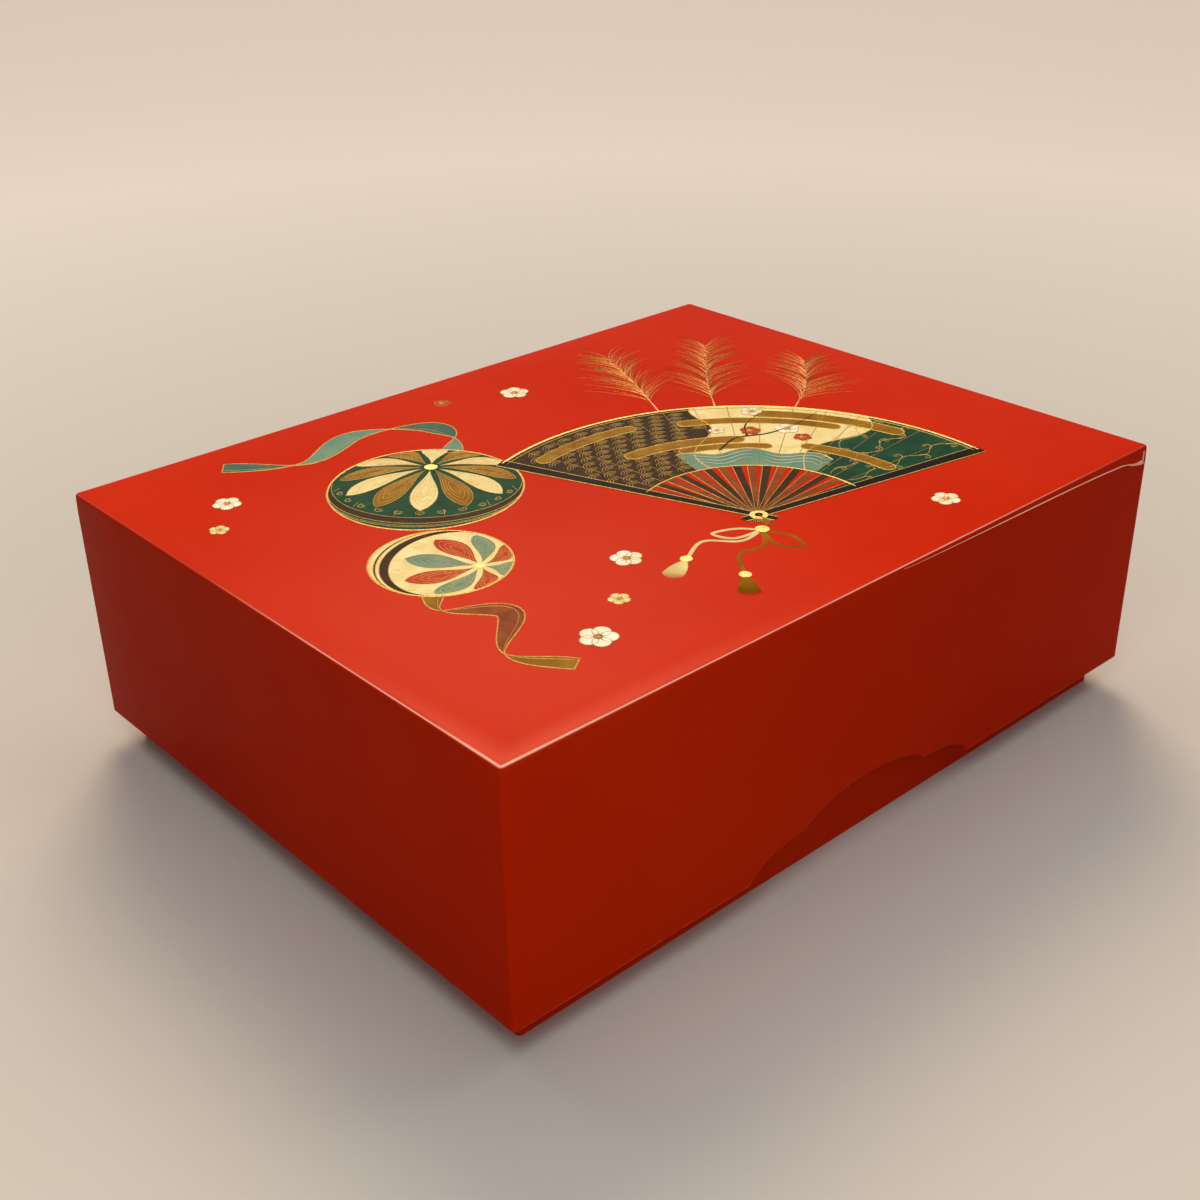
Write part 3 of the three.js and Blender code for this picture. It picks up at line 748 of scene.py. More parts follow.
def build_side_ridge():
    """A thin raised line painted pale as a highlight, that leaves the top edge halfway along the side and
    curls up at the far corner.
    """
    low, high = reach("lid_right_board")
    start, end = complex(low[1] + RIDGE_START * (high[1] - low[1]), LID_FACE), complex(high[1], LID_FACE)
    run = (end - start).real - RIDGE_CURL_LENGTH
    path = [start + run * t - 1j * (1.1 + 1.7 * t**0.5 + 1.2 * t**6) for t in spaced(0.0, 1.0, 40)]
    curl = [end - drop for drop in (11 + 5.2j, 6 + 6.8j, 3.4 + 7.3j, 2.4 + 6.4j, 2.1 + 4.4j, 2.0 + 2.0j)]
    path = [*path[:-1], *smooth_path([path[-1], *curl], 6)]

    def on_side(p, z):
        past = max(0.0, p.real - (high[1] - LID_CORNER))
        drop = LID_CORNER - sqrt(max(LID_CORNER**2 - past**2, 0.0))
        rolled = (LID_ROLL_DEPTH - (LID_FACE - p.imag)) / (LID_ROLL_DEPTH - LID_EDGE)
        return high[0] - drop - LID_ROLL * rolled**2 + z, p.real, p.imag

    def width(share):
        swell = exp(-((share - 0.93) / 0.035) ** 2)
        return 0.1 + 0.45 * min(share / 0.3, 1.0) + 0.3 * swell

    def rise(share):
        return 0.08 + 0.32 * min(share / 0.3, 1.0)

    on_wall = ("lid", "red_lacquer", on_side)
    lines("lid_side_highlight_ridge", [(path, width)], 0.0, RIDGE_HIGHLIGHT, rise, on_wall)
    # The swelling near the far corner is a painted glint on the same line.
    swollen = smooth_path([end - 12 - 5.2j, end - 7 - 6.3j, end - 2.6 - 6.7j])
    lines("lid_side_highlight_ridge_end", [(swollen, lambda share: 0.4 + 1.7 * share)], 0.0, RIDGE_HIGHLIGHT, 0.9, on_wall)


# Raised pattern on the lid: the open fan

FAN_PIVOT = 66 + 6j
FAN_RADIUS = 108.0
FAN_ANGLES = (80.0, 200.0)
FAN_FOLDS = 16
LEAF_SHARE = 0.42
LEAF_DEPTH = FAN_RADIUS * (1 - LEAF_SHARE)


def fan_ray(u):
    """Unit arrow from the pivot, at the share u across the leaf."""
    return ray(radians(FAN_ANGLES[0] + (FAN_ANGLES[1] - FAN_ANGLES[0]) * u))


def fan_point(u, v):
    """u runs across the leaf and v outwards over it, both from 0 to 1."""
    return FAN_PIVOT + (FAN_RADIUS - LEAF_DEPTH * (1 - v)) * fan_ray(u)


def fan_arc(u0, u1, v, steps=36):
    return [fan_point(u, v) for u in spaced(u0, u1, steps)]


def fan_zone(left, right):
    """Part of the leaf between two borders, each a function from v to u."""
    rows = spaced(0.0, 1.0, 24)
    up = [fan_point(left(v), v) for v in rows]
    down = [fan_point(right(v), v) for v in reversed(rows)]
    return [*up, *fan_arc(left(1), right(1), 1)[1:-1], *down, *fan_arc(right(0), left(0), 0)[1:-1]]


def mist(u0, u1, v, half):
    """A long cloud with round ends that follows the curve of the leaf."""
    share = half / LEAF_DEPTH
    ends = []
    for u, sign in ((u1, 1), (u0, -1)):
        ends.append([fan_point(u, v) + half * sign * fan_ray(u) * ray(pi * i / 10) for i in range(1, 10)])
    return [*fan_arc(u0, u1, v + share), *ends[0], *fan_arc(u1, u0, v - share), *ends[1]]


def left_edge(v):
    return 0.0


def right_edge(v):
    return 1.0


def green_border(v):
    return 0.25 + 0.045 * sin(6 * v)


def brown_border(v):
    return 0.64 - 0.1 * v + 0.03 * sin(8 * v)


def water_line(u):
    return 0.24 + 0.04 * sin(30 * u)


def scale_waves():
    """Rows of nested arcs over the brown part of the leaf."""
    strokes = []
    row_step, wave_width = 4.0, 8.6
    for row in range(int(LEAF_DEPTH / row_step) - 1):
        v = (0.6 + row) * row_step / LEAF_DEPTH
        arc_length = abs(fan_point(0, v) - FAN_PIVOT) * radians(FAN_ANGLES[1] - FAN_ANGLES[0])
        count = int(arc_length / wave_width)
        for k in range(count):
            u = 1 - (k + (0.5 if row % 2 else 1.0)) / count
            if brown_border(v) + 0.025 <= u <= 0.97:
                for radius in (4.0, 2.9, 1.8):
                    across = radius * 1j * fan_ray(u)
                    arc = [fan_point(u, v) + across * ray(-radians(angle)) for angle in range(12, 170, 20)]
                    strokes.append((arc, pointed(0.42)))
    return strokes


def vine_strokes():
    """Climbing stems with a curl to each side, over the green part of the leaf."""
    strokes = []
    for u in (0.055, 0.145, 0.225):
        stem = [fan_point(u + 0.012 * sin(22 * v + 40 * u), v) for v in spaced(0.0, 1.0, 30)[1:-1]]
        strokes.append((stem, 0.4))
        way = headings(stem)
        for n, i in enumerate(range(2, 27, 4)):
            turn = 1 if n % 2 else -1
            strokes.append((tendril(stem[i], way[i] * ray(-0.6 * turn), 3.2, turn), whisker(0.5)))
    return strokes


def fan_stick(u, tail, tail_half, length, tip_half):
    """Outline of a stick that runs out at the share u, with its half widths at both ends."""
    out = fan_ray(u)
    base, tip = FAN_PIVOT - tail * out, FAN_PIVOT + length * out
    near, far = 1j * tail_half * out, 1j * tip_half * out
    return [base - near, base + near, tip + far, tip - far]


def build_fan_ribs():
    for k in range(FAN_FOLDS):
        level = 0.06 + 0.004 * k
        rib = fan_stick((k + 0.5) / FAN_FOLDS, 6.0, 0.8, (LEAF_SHARE + 0.03) * FAN_RADIUS, 1.7)
        patches(f"fan_rib_{k}", [rib], level, WARM_BROWN if k % 2 else BROWN)
        lines(f"fan_rib_edge_{k}", [([rib[1], rib[2]], 0.35)], level, GOLD, 0.08)


def build_fan_leaf():
    patches("fan_leaf", [fan_zone(left_edge, right_edge)], 0.14, CREAM)
    patches("fan_green", [fan_zone(left_edge, green_border)], 0.16, GREEN)
    patches("fan_brown", [fan_zone(brown_border, right_edge)], 0.16, BROWN)
    water = [fan_point(u, water_line(u)) for u in spaced(0.2, 0.7, 40)]
    patches("fan_water", [[*water, *fan_arc(0.7, 0.2, 0.0)]], 0.18, TEAL)
    borders = [[fan_point(edge(v), v) for v in spaced(0.0, 1.0, 24)] for edge in (green_border, brown_border)]
    lines("fan_borders", [(path, 0.7) for path in (*borders, water)], 0.18, GOLD)
    ripples = []
    for depth in (0.05, 0.1, 0.15):
        for start in (0.22, 0.46):
            path = [fan_point(u, max(water_line(u) - depth, 0.01)) for u in spaced(start, start + 0.2, 24)]
            ripples.append((path, pointed(0.5)))
    lines("fan_ripples", ripples, 0.18, WHITE)
    lines("fan_waves", scale_waves(), 0.16, GOLD, 0.1)
    lines("fan_vines", vine_strokes(), 0.16, GOLD, 0.1)
    spots = ((0.16, 0.44, 0.86, 3.6), (0.28, 0.6, 0.74, 3.0), (0.5, 0.8, 0.42, 3.4),
             (0.42, 0.66, 0.31, 2.6), (0.05, 0.3, 0.36, 3.0), (0.72, 0.95, 0.8, 3.0))
    clouds = [mist(*spot) for spot in spots]
    for k, cloud in enumerate(clouds):
        patches(f"fan_mist_{k}", [cloud], 0.2 + 0.004 * k, MUSTARD)
    lines("fan_mist_edges", [(looped(cloud), 0.55) for cloud in clouds], 0.2, GOLD)


def build_fan_branch():
    """A plum branch over the pale part of the leaf."""
    marks = ((0.56, 0.26), (0.5, 0.44), (0.42, 0.52), (0.36, 0.7), (0.33, 0.95))
    twig_marks = ((0.47, 0.47), (0.47, 0.66), (0.44, 0.86))
    branch, twig = (smooth_path([fan_point(*mark) for mark in path]) for path in (marks, twig_marks))
    lines("fan_branch", [(branch, whisker(1.8)), (twig, whisker(1.1))], 0.2, BROWN, 0.14)
    flowers = [(0.375, 0.62, 5.2), (0.46, 0.56, 4.4), (0.455, 0.9, 4.6), (0.33, 0.5, 3.8), (0.54, 0.58, 3.4)]
    for k, (u, v, radius) in enumerate(flowers):
        centre, material = fan_point(u, v), CORAL if k % 2 else WHITE
        outlines = blossom(centre, radius, k)
        petals(f"fan_petal_{k}", f"fan_petal_edge_{k}", outlines, 0.24, material, 0.3, 0.05)
        patches(f"fan_flower_heart_{k}", [circle(centre, 0.26 * radius, 14)], 0.28, MUSTARD)
        lines(f"fan_flower_stamens_{k}", stamens(centre, radius), 0.27, GOLD, 0.08)


def build_fan_frame():
    """The folds and rims of the leaf, the two guards and the pivot."""
    folds = [([fan_point(k / FAN_FOLDS, v) for v in (0.0, 1.0)], 0.3) for k in range(1, FAN_FOLDS)]
    lines("fan_folds", folds, 0.23, OLD_GOLD, 0.05)
    rims = [(fan_arc(0, 1, v, 64), width) for v, width in ((0.0, 0.8), (1.0, 1.1), (0.965, 0.4))]
    lines("fan_rims", rims, 0.22, GOLD)
    for k in range(2):
        guard = fan_stick(k, 7.0, 1.6, FAN_RADIUS + 1.0, 2.8)
        patches(f"fan_guard_{k}", [guard], 0.26, PAINT_BLACK)
        lines(f"fan_guard_edge_{k}", [(looped(guard), 0.5)], 0.26, GOLD, 0.08)
    patches("fan_pivot_plate", [circle(FAN_PIVOT, 3.4)], 0.32, GOLD)
    patches("fan_pivot_pin", [circle(FAN_PIVOT, 1.5, 20)], 0.42, PAINT_BLACK)


# Raised pattern on the lid: thread balls

BALL_BANDS = ((78, 90), (96, 100))
PETAL_REACH = (6, 66)


def ball_point(centre, radius, lean, colatitude, longitude):
    """A point on a thread ball seen from above and how far it faces the viewer. Angles in degrees.

    The ball's pole leans by |lean| radians towards lean's direction.
    """
    tilt, way = abs(lean), lean / abs(lean)
    c, g = radians(colatitude), radians(longitude)
    x, y, z = sin(c) * cos(g), sin(c) * sin(g), cos(c)
    x, z = x * cos(tilt) + z * sin(tilt), z * cos(tilt) - x * sin(tilt)
    return centre + radius * complex(x, y) * way, z


def ball_petal(ball, longitude, half_width, share=1.0):
    """Outline of a pointed petal that runs away from the pole."""
    near, far = PETAL_REACH
    sides = []
    for sign in (1, -1):
        side = []
        for s in spaced(0.0, 1.0, 12):
            colatitude = near + (far - near) * (0.5 + (s - 0.5) * share)
            width = sign * share * half_width * sin(pi * s) ** 0.8
            side.append(ball_point(*ball, colatitude, longitude + width)[0])
        sides.append(side)
    return [*sides[0], *reversed(sides[1][1:-1])]


def ball_band(ball, near, far):
    """The visible part of a band round the ball between two distances from the pole."""
    seen_at = [g for g in range(-180, 181, 5) if ball_point(*ball, (near + far) / 2, g)[1] > 0.0]
    split = next((i for i in range(1, len(seen_at)) if seen_at[i] - seen_at[i - 1] > 5), 0)
    order = [*seen_at[split:], *(g + 360 for g in seen_at[:split])]
    centre, radius = ball[0], ball[1]

    def edge(colatitude):
        for g in order:
            p, z = ball_point(*ball, colatitude, g)
            yield p if z > 0 else centre + radius * (p - centre) / abs(p - centre)

    return [*edge(near), *reversed(list(edge(far)))]


def ball_curls(ball, count):
    """Pairs of small curls round the ball, on both sides of its bands."""
    strokes = []
    for k in range(count):
        for colatitude, shift in ((72, 0), (112, 8)):
            p, z = ball_point(*ball, colatitude, 360 * k / count + shift)
            away = p - ball[0]
            if z > 0.2 and ball[1] - abs(away) > 2.4:
                for turn in (1, -1):
                    curl = tendril(p, 1j * turn * away / abs(away), 1.9 * (0.5 + 0.5 * z), turn, 16)
                    strokes.append((curl, whisker(0.4)))
    return strokes


def build_ball(name, ball, petal_count, ground, petal_paints, curls):
    rim = circle(ball[0], ball[1], 72)
    patches(f"{name}_ground", [rim], 0.12, ground)
    lines(f"{name}_edge", [(looped(rim), 0.9)], 0.14, GOLD)
    bands = [ball_band(ball, *band) for band in BALL_BANDS]
    patches(f"{name}_bands", bands, 0.14, BROWN)
    lines(f"{name}_band_edges", [(looped(band), 0.4) for band in bands], 0.14, GOLD, 0.08)
    threads = []
    half = 150 / petal_count
    for k in range(petal_count):
        longitude = 360 * k / petal_count
        material = petal_paints[k % len(petal_paints)]
        patches(f"{name}_petal_{k}", [ball_petal(ball, longitude, half)], 0.15, material)
        for share in (1.0, 0.78, 0.56, 0.34):
            threads.append((looped(ball_petal(ball, longitude, half, share)), 0.32))
        between = [ball_point(*ball, PETAL_REACH[1] + i, longitude + half * 1.2)[0] for i in range(0, 12, 3)]
        threads.append((between, 0.3))
    lines(f"{name}_threads", threads, 0.15, GOLD, 0.07)
    patches(f"{name}_pole", [circle(ball_point(*ball, 0, 0)[0], 0.07 * ball[1], 20)], 0.22, GOLD)
    if curls:
        lines(f"{name}_curls", ball_curls(ball, curls), 0.15, GOLD, 0.08)


# Raised pattern on the lid: ribbons, grasses, cords and loose blossoms


def build_ribbon(name, marks, width, twists, front, back):
    """A ribbon that shows its back after each twist."""
    path = smooth_path(marks, 14)
    ways = headings(path)
    last = len(path) - 1
    shares = spaced(0.0, 1.0, last)
    widths = [width * cos(pi * twists * t) * (0.75 + 0.25 * sin(pi * t)) for t in shares]
    pieces, begin = [], 0
    for i in range(1, len(path)):
        if i == last or widths[i] * widths[i - 1] <= 0:
            pieces.append(range(begin, i + 1))
            begin = i
    for k, piece in enumerate(pieces):
        if len(piece) > 2:
            sides = [[path[n] + offset * ways[n] * abs(widths[n]) for n in piece] for offset in (0.5j, -0.5j)]
            outline = [*sides[0], *reversed(sides[1])]
            level = 0.1 + 0.02 * (k % 2)
            patches(f"{name}_{k}", [outline], level, back if k % 2 else front)
            inner = [path[n] + 0.28j * ways[n] * abs(widths[n]) for n in piece]
            lines(f"{name}_edges_{k}", [(looped(outline), 0.55), (inner, pointed(0.35))], level, GOLD, 0.1)


def build_plume(name, marks, hairs, seed):
    """A spray of grass: one stem with fine hairs that leave it on both sides and droop."""
    rng = random.Random(seed)
    stem = smooth_path(marks, 14)
    ways = headings(stem)
    strokes = [[(stem, whisker(1.1))], []]
    for k in range(hairs):
        share = 0.3 + 0.7 * k / hairs
        i = int(share * (len(stem) - 1))
        turn = 1 if k % 2 else -1
        heading = ways[i] * ray(turn * rng.uniform(0.15, 0.62))
        length = rng.uniform(20, 34) * (1.1 - 0.5 * share)
        droop = ray(turn * rng.uniform(0.03, 0.1))
        path, point = [stem[i]], stem[i]
        for _ in range(9):
            point += heading * length / 9
            heading *= droop
            path.append(point)
        strokes[1 if rng.random() < 0.3 else 0].append((path, whisker(rng.uniform(0.5, 0.85))))
    lines(f"{name}_light", strokes[0], 0.0, STRAW, 0.1)
    lines(f"{name}_dark", strokes[1], 0.0, WARM_BROWN, 0.09)


def build_cords():
    """The fan's cords: two loops, two tails and their tassels."""
    knot = FAN_PIVOT + 9 - 8j
    lines("cord_lead", [(smooth_path([FAN_PIVOT, FAN_PIVOT + 6 - 2j, knot]), 1.6)], 0.2, MUSTARD, 0.3)
    loops = ((0, 10 + 4j, 19 + 1j, 12 - 5j, 0), (0, -7 - 6j, -10 - 15j, -2 - 12j, 0))
    tails = ((0, 9 - 9j, 8 - 20j, 20 - 30j), (0, 1 - 12j, -8 - 22j, -2 - 36j))
    cords = (("mustard", MUSTARD, 0.05), ("cream", CREAM, 0.08))
    for (colour, material, level), *routes in zip(cords, loops, tails):
        strokes = [(smooth_path([knot + step for step in route]), 1.5) for route in routes]
        lines(f"cord_{colour}", strokes, level, material, 0.3)
    patches("cord_knot", [circle(knot, 2.6, 24)], 0.45, GOLD)
    for k, (tail, (_, material, _)) in enumerate(zip(tails, cords)):
        end, way = knot + tail[-1], (tail[-1] - tail[-2]) / abs(tail[-1] - tail[-2])
        patches(f"tassel_head_{k}", [circle(end, 2.2, 20)], 0.4, GOLD)
        hairs = []
        for spread in spaced(-1.0, 1.0, 18):
            tip = end + (15 - 2 * spread**2) * way * ray(0.3 * spread)
            hairs.append((smooth_path([end, (end + tip) / 2 + 0.8j * way * spread, tip], 4), whisker(0.9)))
        lines(f"tassel_{k}", hairs, 0.05, material, 0.25)


def build_loose_blossoms():
    spots = (
        (-92 + 22j, 6.4, WHITE), (-78 - 128j, 5.6, WHITE), (58 - 52j, 6.0, WHITE), (92 - 96j, 6.8, WHITE),
        (104 + 66j, 5.6, WHITE), (-104 - 8j, 3.6, CORAL), (78 - 74j, 4.0, CREAM), (-60 - 142j, 3.8, CREAM))
    for k, (centre, radius, material) in enumerate(spots):
        outlines = blossom(centre, radius, 0.7 * k)
        petals(f"blossom_{k}_petal", f"blossom_{k}_edge", outlines, 0.12, material, 0.4, 0.06)
        patches(f"blossom_{k}_heart", [circle(centre, 0.24 * radius, 14)], 0.16, MUSTARD)
        lines(f"blossom_{k}_stamens", stamens(centre, radius, 0.7 * k + 0.3), 0.15, GOLD, 0.08)


def build_pattern():
    build_plume("plume_a", [-5 + 60j, -44 + 92j, -78 + 126j], 120, 1)
    build_plume("plume_b", [-20 + 45j, -62 + 66j, -98 + 82j], 110, 2)
    build_plume("plume_c", [10 + 85j, -10 + 118j, -32 + 142j], 100, 3)
    build_fan_ribs()
    build_fan_leaf()
    build_fan_branch()
    build_fan_frame()
    build_cords()
    teal_marks = [-58 - 38j, -72 - 27j, -88 - 30j, -100 - 56j, -90 - 86j, -108 - 112j]
    build_ribbon("teal_ribbon", teal_marks, 11, 3, TEAL, DEEP_TEAL)
    mustard_marks = [32 - 116j, 44 - 121j, 60 - 106j, 80 - 124j, 100 - 112j]
    build_ribbon("mustard_ribbon", mustard_marks, 9, 2, MUSTARD, WARM_BROWN)
    build_ball("large_ball", (-38 - 66j, 37.0, 0.55 * ray(2.4)), 12, GREEN, (CREAM, MUSTARD), 26)
    build_ball("small_ball", (16 - 100j, 25.0, 0.6 * ray(0.6)), 8, CREAM, (TEAL, CORAL), 0)
    build_loose_blossoms()


# Tray fittings and writing tools

TIP_START = 0.1
CANE_CLEARANCE = 0.18
CAP_WALL = 1.1
INK_STAIN_FROM = 0.45


def keep_node(node, material):
    """Shows a CAD node as it is, with a better material."""
    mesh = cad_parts[node].data
    mesh.materials.clear()
    mesh.materials.append(material)


def rounded_copy(node, body, material, slot, width=0.6):
    """The CAD node's own shape with its edges rounded."""
    build = bmesh.new()
    build.from_mesh(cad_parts[node].data)
    bmesh.ops.remove_doubles(build, verts=build.verts, dist=0.001 * MM)
    bmesh.ops.dissolve_limit(build, angle_limit=radians(1), verts=build.verts, edges=build.edges)
    sharp = [edge for edge in build.edges if edge.calc_face_angle(0) > radians(40)]
    bmesh.ops.bevel(
        build, geom=sharp, offset=width * MM, segments=3, profile=0.5, affect="EDGES", clamp_overlap=True)
    mesh = bpy.data.meshes.new(f"{node}_rounded")
    build.to_mesh(mesh)
    build.free()
    smooth(mesh)
    paint_wear(mesh, [0.0] * len(mesh.vertices))
    make_object(f"{node}_rounded", mesh, body, [material], slot, [node])


def block_ring(centre, half_x, half_y, radius, height):
    """A rounded rectangle about centre. height is a level, or a level for each point of it."""
    ring = []
    corners = ((1, 1, 0), (-1, 1, 90), (-1, -1, 180), (1, -1, 270))
    arcs = [list(arc_points(sx * (half_x - radius), sy * (half_y - radius), radius, start, 8))
            for sx, sy, start in corners]
    for n, arc in enumerate(arcs):
        (ax, ay), (bx, by) = arc[-1], arcs[(n + 1) % 4][0]
        count = 36 if n % 2 else 12
        ring += [*arc, *((ax + (bx - ax) * k / count, ay + (by - ay) * k / count) for k in range(1, count))]
    return [(centre[0] + x, centre[1] + y, height(x, y) if callable(height) else height) for x, y in ring]


def build_inkstone():
    """A slab with a flat for grinding that slopes down into a well."""
    low, high = reach("inkstone")
    (centre, half_x, half_y), top = plan(low, high), high[2]
    corner, edge, rim, floor_inset, dried_ink = 7.0, 1.4, 6.5, 2.8, 0.12
    well_depth, land_depth, well_from, slope_from = 10.5, 2.6, half_y - 46.0, half_y - 72.0
    rings, stain = [], []

    def ring(inset, z, stained=0.0, narrowed=1.0):
        x, y = (half_x - inset) * narrowed, (half_y - inset) * narrowed
        rings.append(block_ring(centre, x, y, max((corner - inset) * narrowed, min(1.5, 0.5 * x)), z))
        deeper = 0.85 if callable(z) else 0.0
        stain.append([stained + deeper * slope(y - centre[1]) for _, y, _ in rings[-1]])

    def slope(y):
        share = clamp((y - slope_from) / (well_from - slope_from))
        return share * share * (3 - 2 * share)

    def hollow(fillet):
        return lambda x, y: top - land_depth - (well_depth - land_depth) * slope(y) + fillet

    ring(edge + 1.0, low[2])
    for across, along in rounding(edge):
        ring(along, low[2] + across)
    for across, along in reversed(list(rounding(edge))):
        ring(across, top - along)
    ring(edge + 0.5, top)
    groove = (
        (2.4, 0.0, 0.0), (2.0, 0.35, 0.0), (1.6, 0.0, 0.0),
        (1.0, 0.0, 0.0), (0.4, 0.25, 0.2), (0.0, 1.0, 0.3))
    for before, depth, stained in groove:
        ring(rim - before, top - depth, stained)
    for inset, fillet in ((0.2, 1.4), (0.7, 0.6), (1.6, 0.15), (floor_inset, 0.0)):
        ring(rim + inset, hollow(fillet), dried_ink)
    for k in range(1, 20):
        ring(rim + floor_inset, hollow(0.0), dried_ink, 1 - k / 20)
    mesh = skin("inkstone_slab", rings[::-1], stain[::-1], sharp_angle=50.0)
    make_object("inkstone_slab", mesh, "inkstone", [STONE], "slate", ["inkstone"])


def lathe(name, origin, profile, body, material, slot, replaces, wear, sides=48):
    """Turns a profile of (radius, distance along Y) round the Y axis through origin.

    wear has a value for each ring of the profile.
    """
    x, y, z = origin
    rings = [[(x + r * cos(t), y + along, z + r * sin(t)) for t in turns(sides)] for r, along in profile]
    make_object(name, skin(name, rings, wear), body, [material], slot, replaces)


def build_dropper():
    """A small brass flask with a collared filling hole, a spout hole and a plum spray in relief."""
    low, high = reach("water_dropper")
    middle, top = complex(*plan(low, high)[0]), high[2]
    rounded_copy("water_dropper", "water_dropper", METAL, "dropper_metal", 0.25)
    for name, hole, radius, height in (("fill", middle, 3.1, 1.0), ("spout", middle + 22.0, 1.9, 1.6)):
        profile = [(0.1, -1.5), (1.9, -1.2), (1.7, 0.15), (1.2, height - 0.3),
                   (0.8, height), (0.4, height), (0.05, height - 0.35), (0.0, -1.4)]
        rings = []
        for wider, z in reversed(profile):
            spots = circle(hole, radius + wider, 40)
            rings.append([(spot.real, spot.imag, top + z) for spot in spots])
        collar = skin(f"dropper_{name}_collar", rings, [0.7] * len(rings), closed=True)
        make_object(f"dropper_{name}_collar", collar, "water_dropper", [METAL], "dropper_metal")
    face = on_level("water_dropper", "dropper_metal", top)
    stem, twig = (smooth_path([middle + step for step in steps]) for steps in (
        (-24 - 12j, -14 - 9j, -8 - 1j, -13 + 9j), (-14 - 9j, -3 - 11j, 9 - 9j)))
    lines("dropper_branch", [(stem, whisker(1.8)), (twig, whisker(1.5))], 0.0, METAL, 0.5, face)
    for k, (spot, radius) in enumerate(((-15 + 2j, 5.0), (10 - 10j, 4.2), (-12 + 12j, 3.4))):
        outlines = blossom(middle + spot, radius, k)
        patches(f"dropper_petals_{k}", outlines, 0.25, METAL, face)
        edges = [(looped(petal), 0.5) for petal in outlines]
        lines(f"dropper_petal_edges_{k}", edges, 0.25, METAL, 0.2, face)


def build_ink_stick():
    """A moulded stick of ink with a raised frame and a gilded spray. It carries no lettering."""
    low, high = reach("ink_stick")
    (centre, half_x, half_y), top = plan(low, high), high[2]
    corner, edge = 2.6, 1.0
    rings, wear = [], []

    def ring(inset, z, worn=0.0):
        rings.append(block_ring(centre, half_x - inset, half_y - inset, max(corner - inset, 0.4), z))
        wear.append(worn)

    ring(edge + 1.0, top)
    for across, along in rounding(edge, 6):
        ring(across, top - along, 0.5 if abs(across - along) < 0.4 * edge else 0.0)
    for across, along in reversed(list(rounding(edge))):
        ring(across, low[2] + along)
    ring(edge + 1.0, low[2])
    make_object("ink_bar", skin("ink_bar", rings, wear), "ink_stick", [INK], "ink", ["ink_stick"])
    middle = complex(*centre)
    face = on_level("ink_stick", "ink", top)
    frame_line = [middle + complex(x, y) for x, y, _ in block_ring((0, 0), 7.6, 40.6, 2.4, 0.0)]
    lines("ink_frame", [(looped(frame_line), 0.9)], 0.0, GOLD, 0.25, face)
    stem = smooth_path([middle + step for step in (-2 - 34j, 2 - 16j, -2 + 2j, 3 + 20j, 1 + 33j)])
    leaves = []
    for n, i in enumerate(range(4, len(stem) - 2, 4)):
        way = headings(stem)[i] * ray(0.7 if n % 2 else -0.7)
        leaves.append(([stem[i] + way * s for s in (0, 1.5, 3, 4.5, 5.6)], pointed(2.2)))
    lines("ink_spray", [(stem, pointed(0.7)), *leaves], 0.0, GOLD, 0.25, face)


def cane_stations(radius, length):
    """((radius, distance along), wear) down a bamboo handle: its end, two joints and a cord-bound throat."""
    joints = [share * length for share in (0.3, 0.72)]
    stations = [((radius - 1.1, 0.0), 0.8), ((radius - 0.4, 0.2), 0.5), ((radius, 0.9), 0.1)]
    for along in spaced(0.9, length, 60)[1:-1]:
        if all(abs(along - joint) > 2.6 for joint in joints) and along < length - 6.5:
            stations.append(((radius - 0.06 + 0.05 * sin(0.11 * along), along), 0.0))
    swellings = ((-2.2, 0.0, 0.0), (-1.2, 0.1, 0.2), (-0.6, 0.17, 0.4), (-0.25, 0.0, 0.9),
                 (0.0, -0.2, 1.0), (0.3, -0.08, 0.6), (1.0, -0.03, 0.15), (2.2, -0.04, 0.0))
    for joint in joints:
        stations += [((radius + swell, joint + offset), dark) for offset, swell, dark in swellings]
    for k in range(5):
        at = length - 6.0 + 1.1 * k
        stations += [((radius - sunk, at + step), dark)
                     for sunk, step, dark in ((0.05, 0.0, 0.2), (0.28, 0.2, 0.9), (0.05, 0.5, 0.2))]
    stations += [((radius - 0.15, length - 0.1), 0.4), ((radius - 0.7, length), 0.6)]
    return sorted(stations, key=lambda station: station[0][1])


def cap_stations(outer, inner, mouth, end):
    """((radius, distance along), wear) of a bamboo cap, from the bottom of its bore to its closed end."""
    middle = (mouth + end) / 2
    return [
        ((0.5, end - 3.2), 0.6), ((inner - 0.5, end - 3.1), 0.6), ((inner, end - 4), 0.4),
        ((inner, mouth + 0.5), 0.3), ((inner + 0.2, mouth + 0.1), 0.8), ((outer - 0.35, mouth), 0.8),
        ((outer - 0.1, mouth + 0.2), 0.4), ((outer - 0.05, mouth + 1), 0.1), ((outer - 0.12, mouth + 4), 0.0),
        ((outer - 0.1, middle - 2), 0.0), ((outer - 0.02, middle - 0.8), 0.4), ((outer, middle - 0.3), 0.7),
        ((outer - 0.3, middle), 1.0), ((outer - 0.15, middle + 0.3), 0.5), ((outer - 0.12, middle + 2), 0.0),
        ((outer - 0.1, end - 4), 0.0), ((outer - 0.05, end - 1.2), 0.2), ((outer - 0.4, end - 0.35), 0.6),
        ((outer - 1.2, end), 0.5), ((0.5, end), 0.5)]


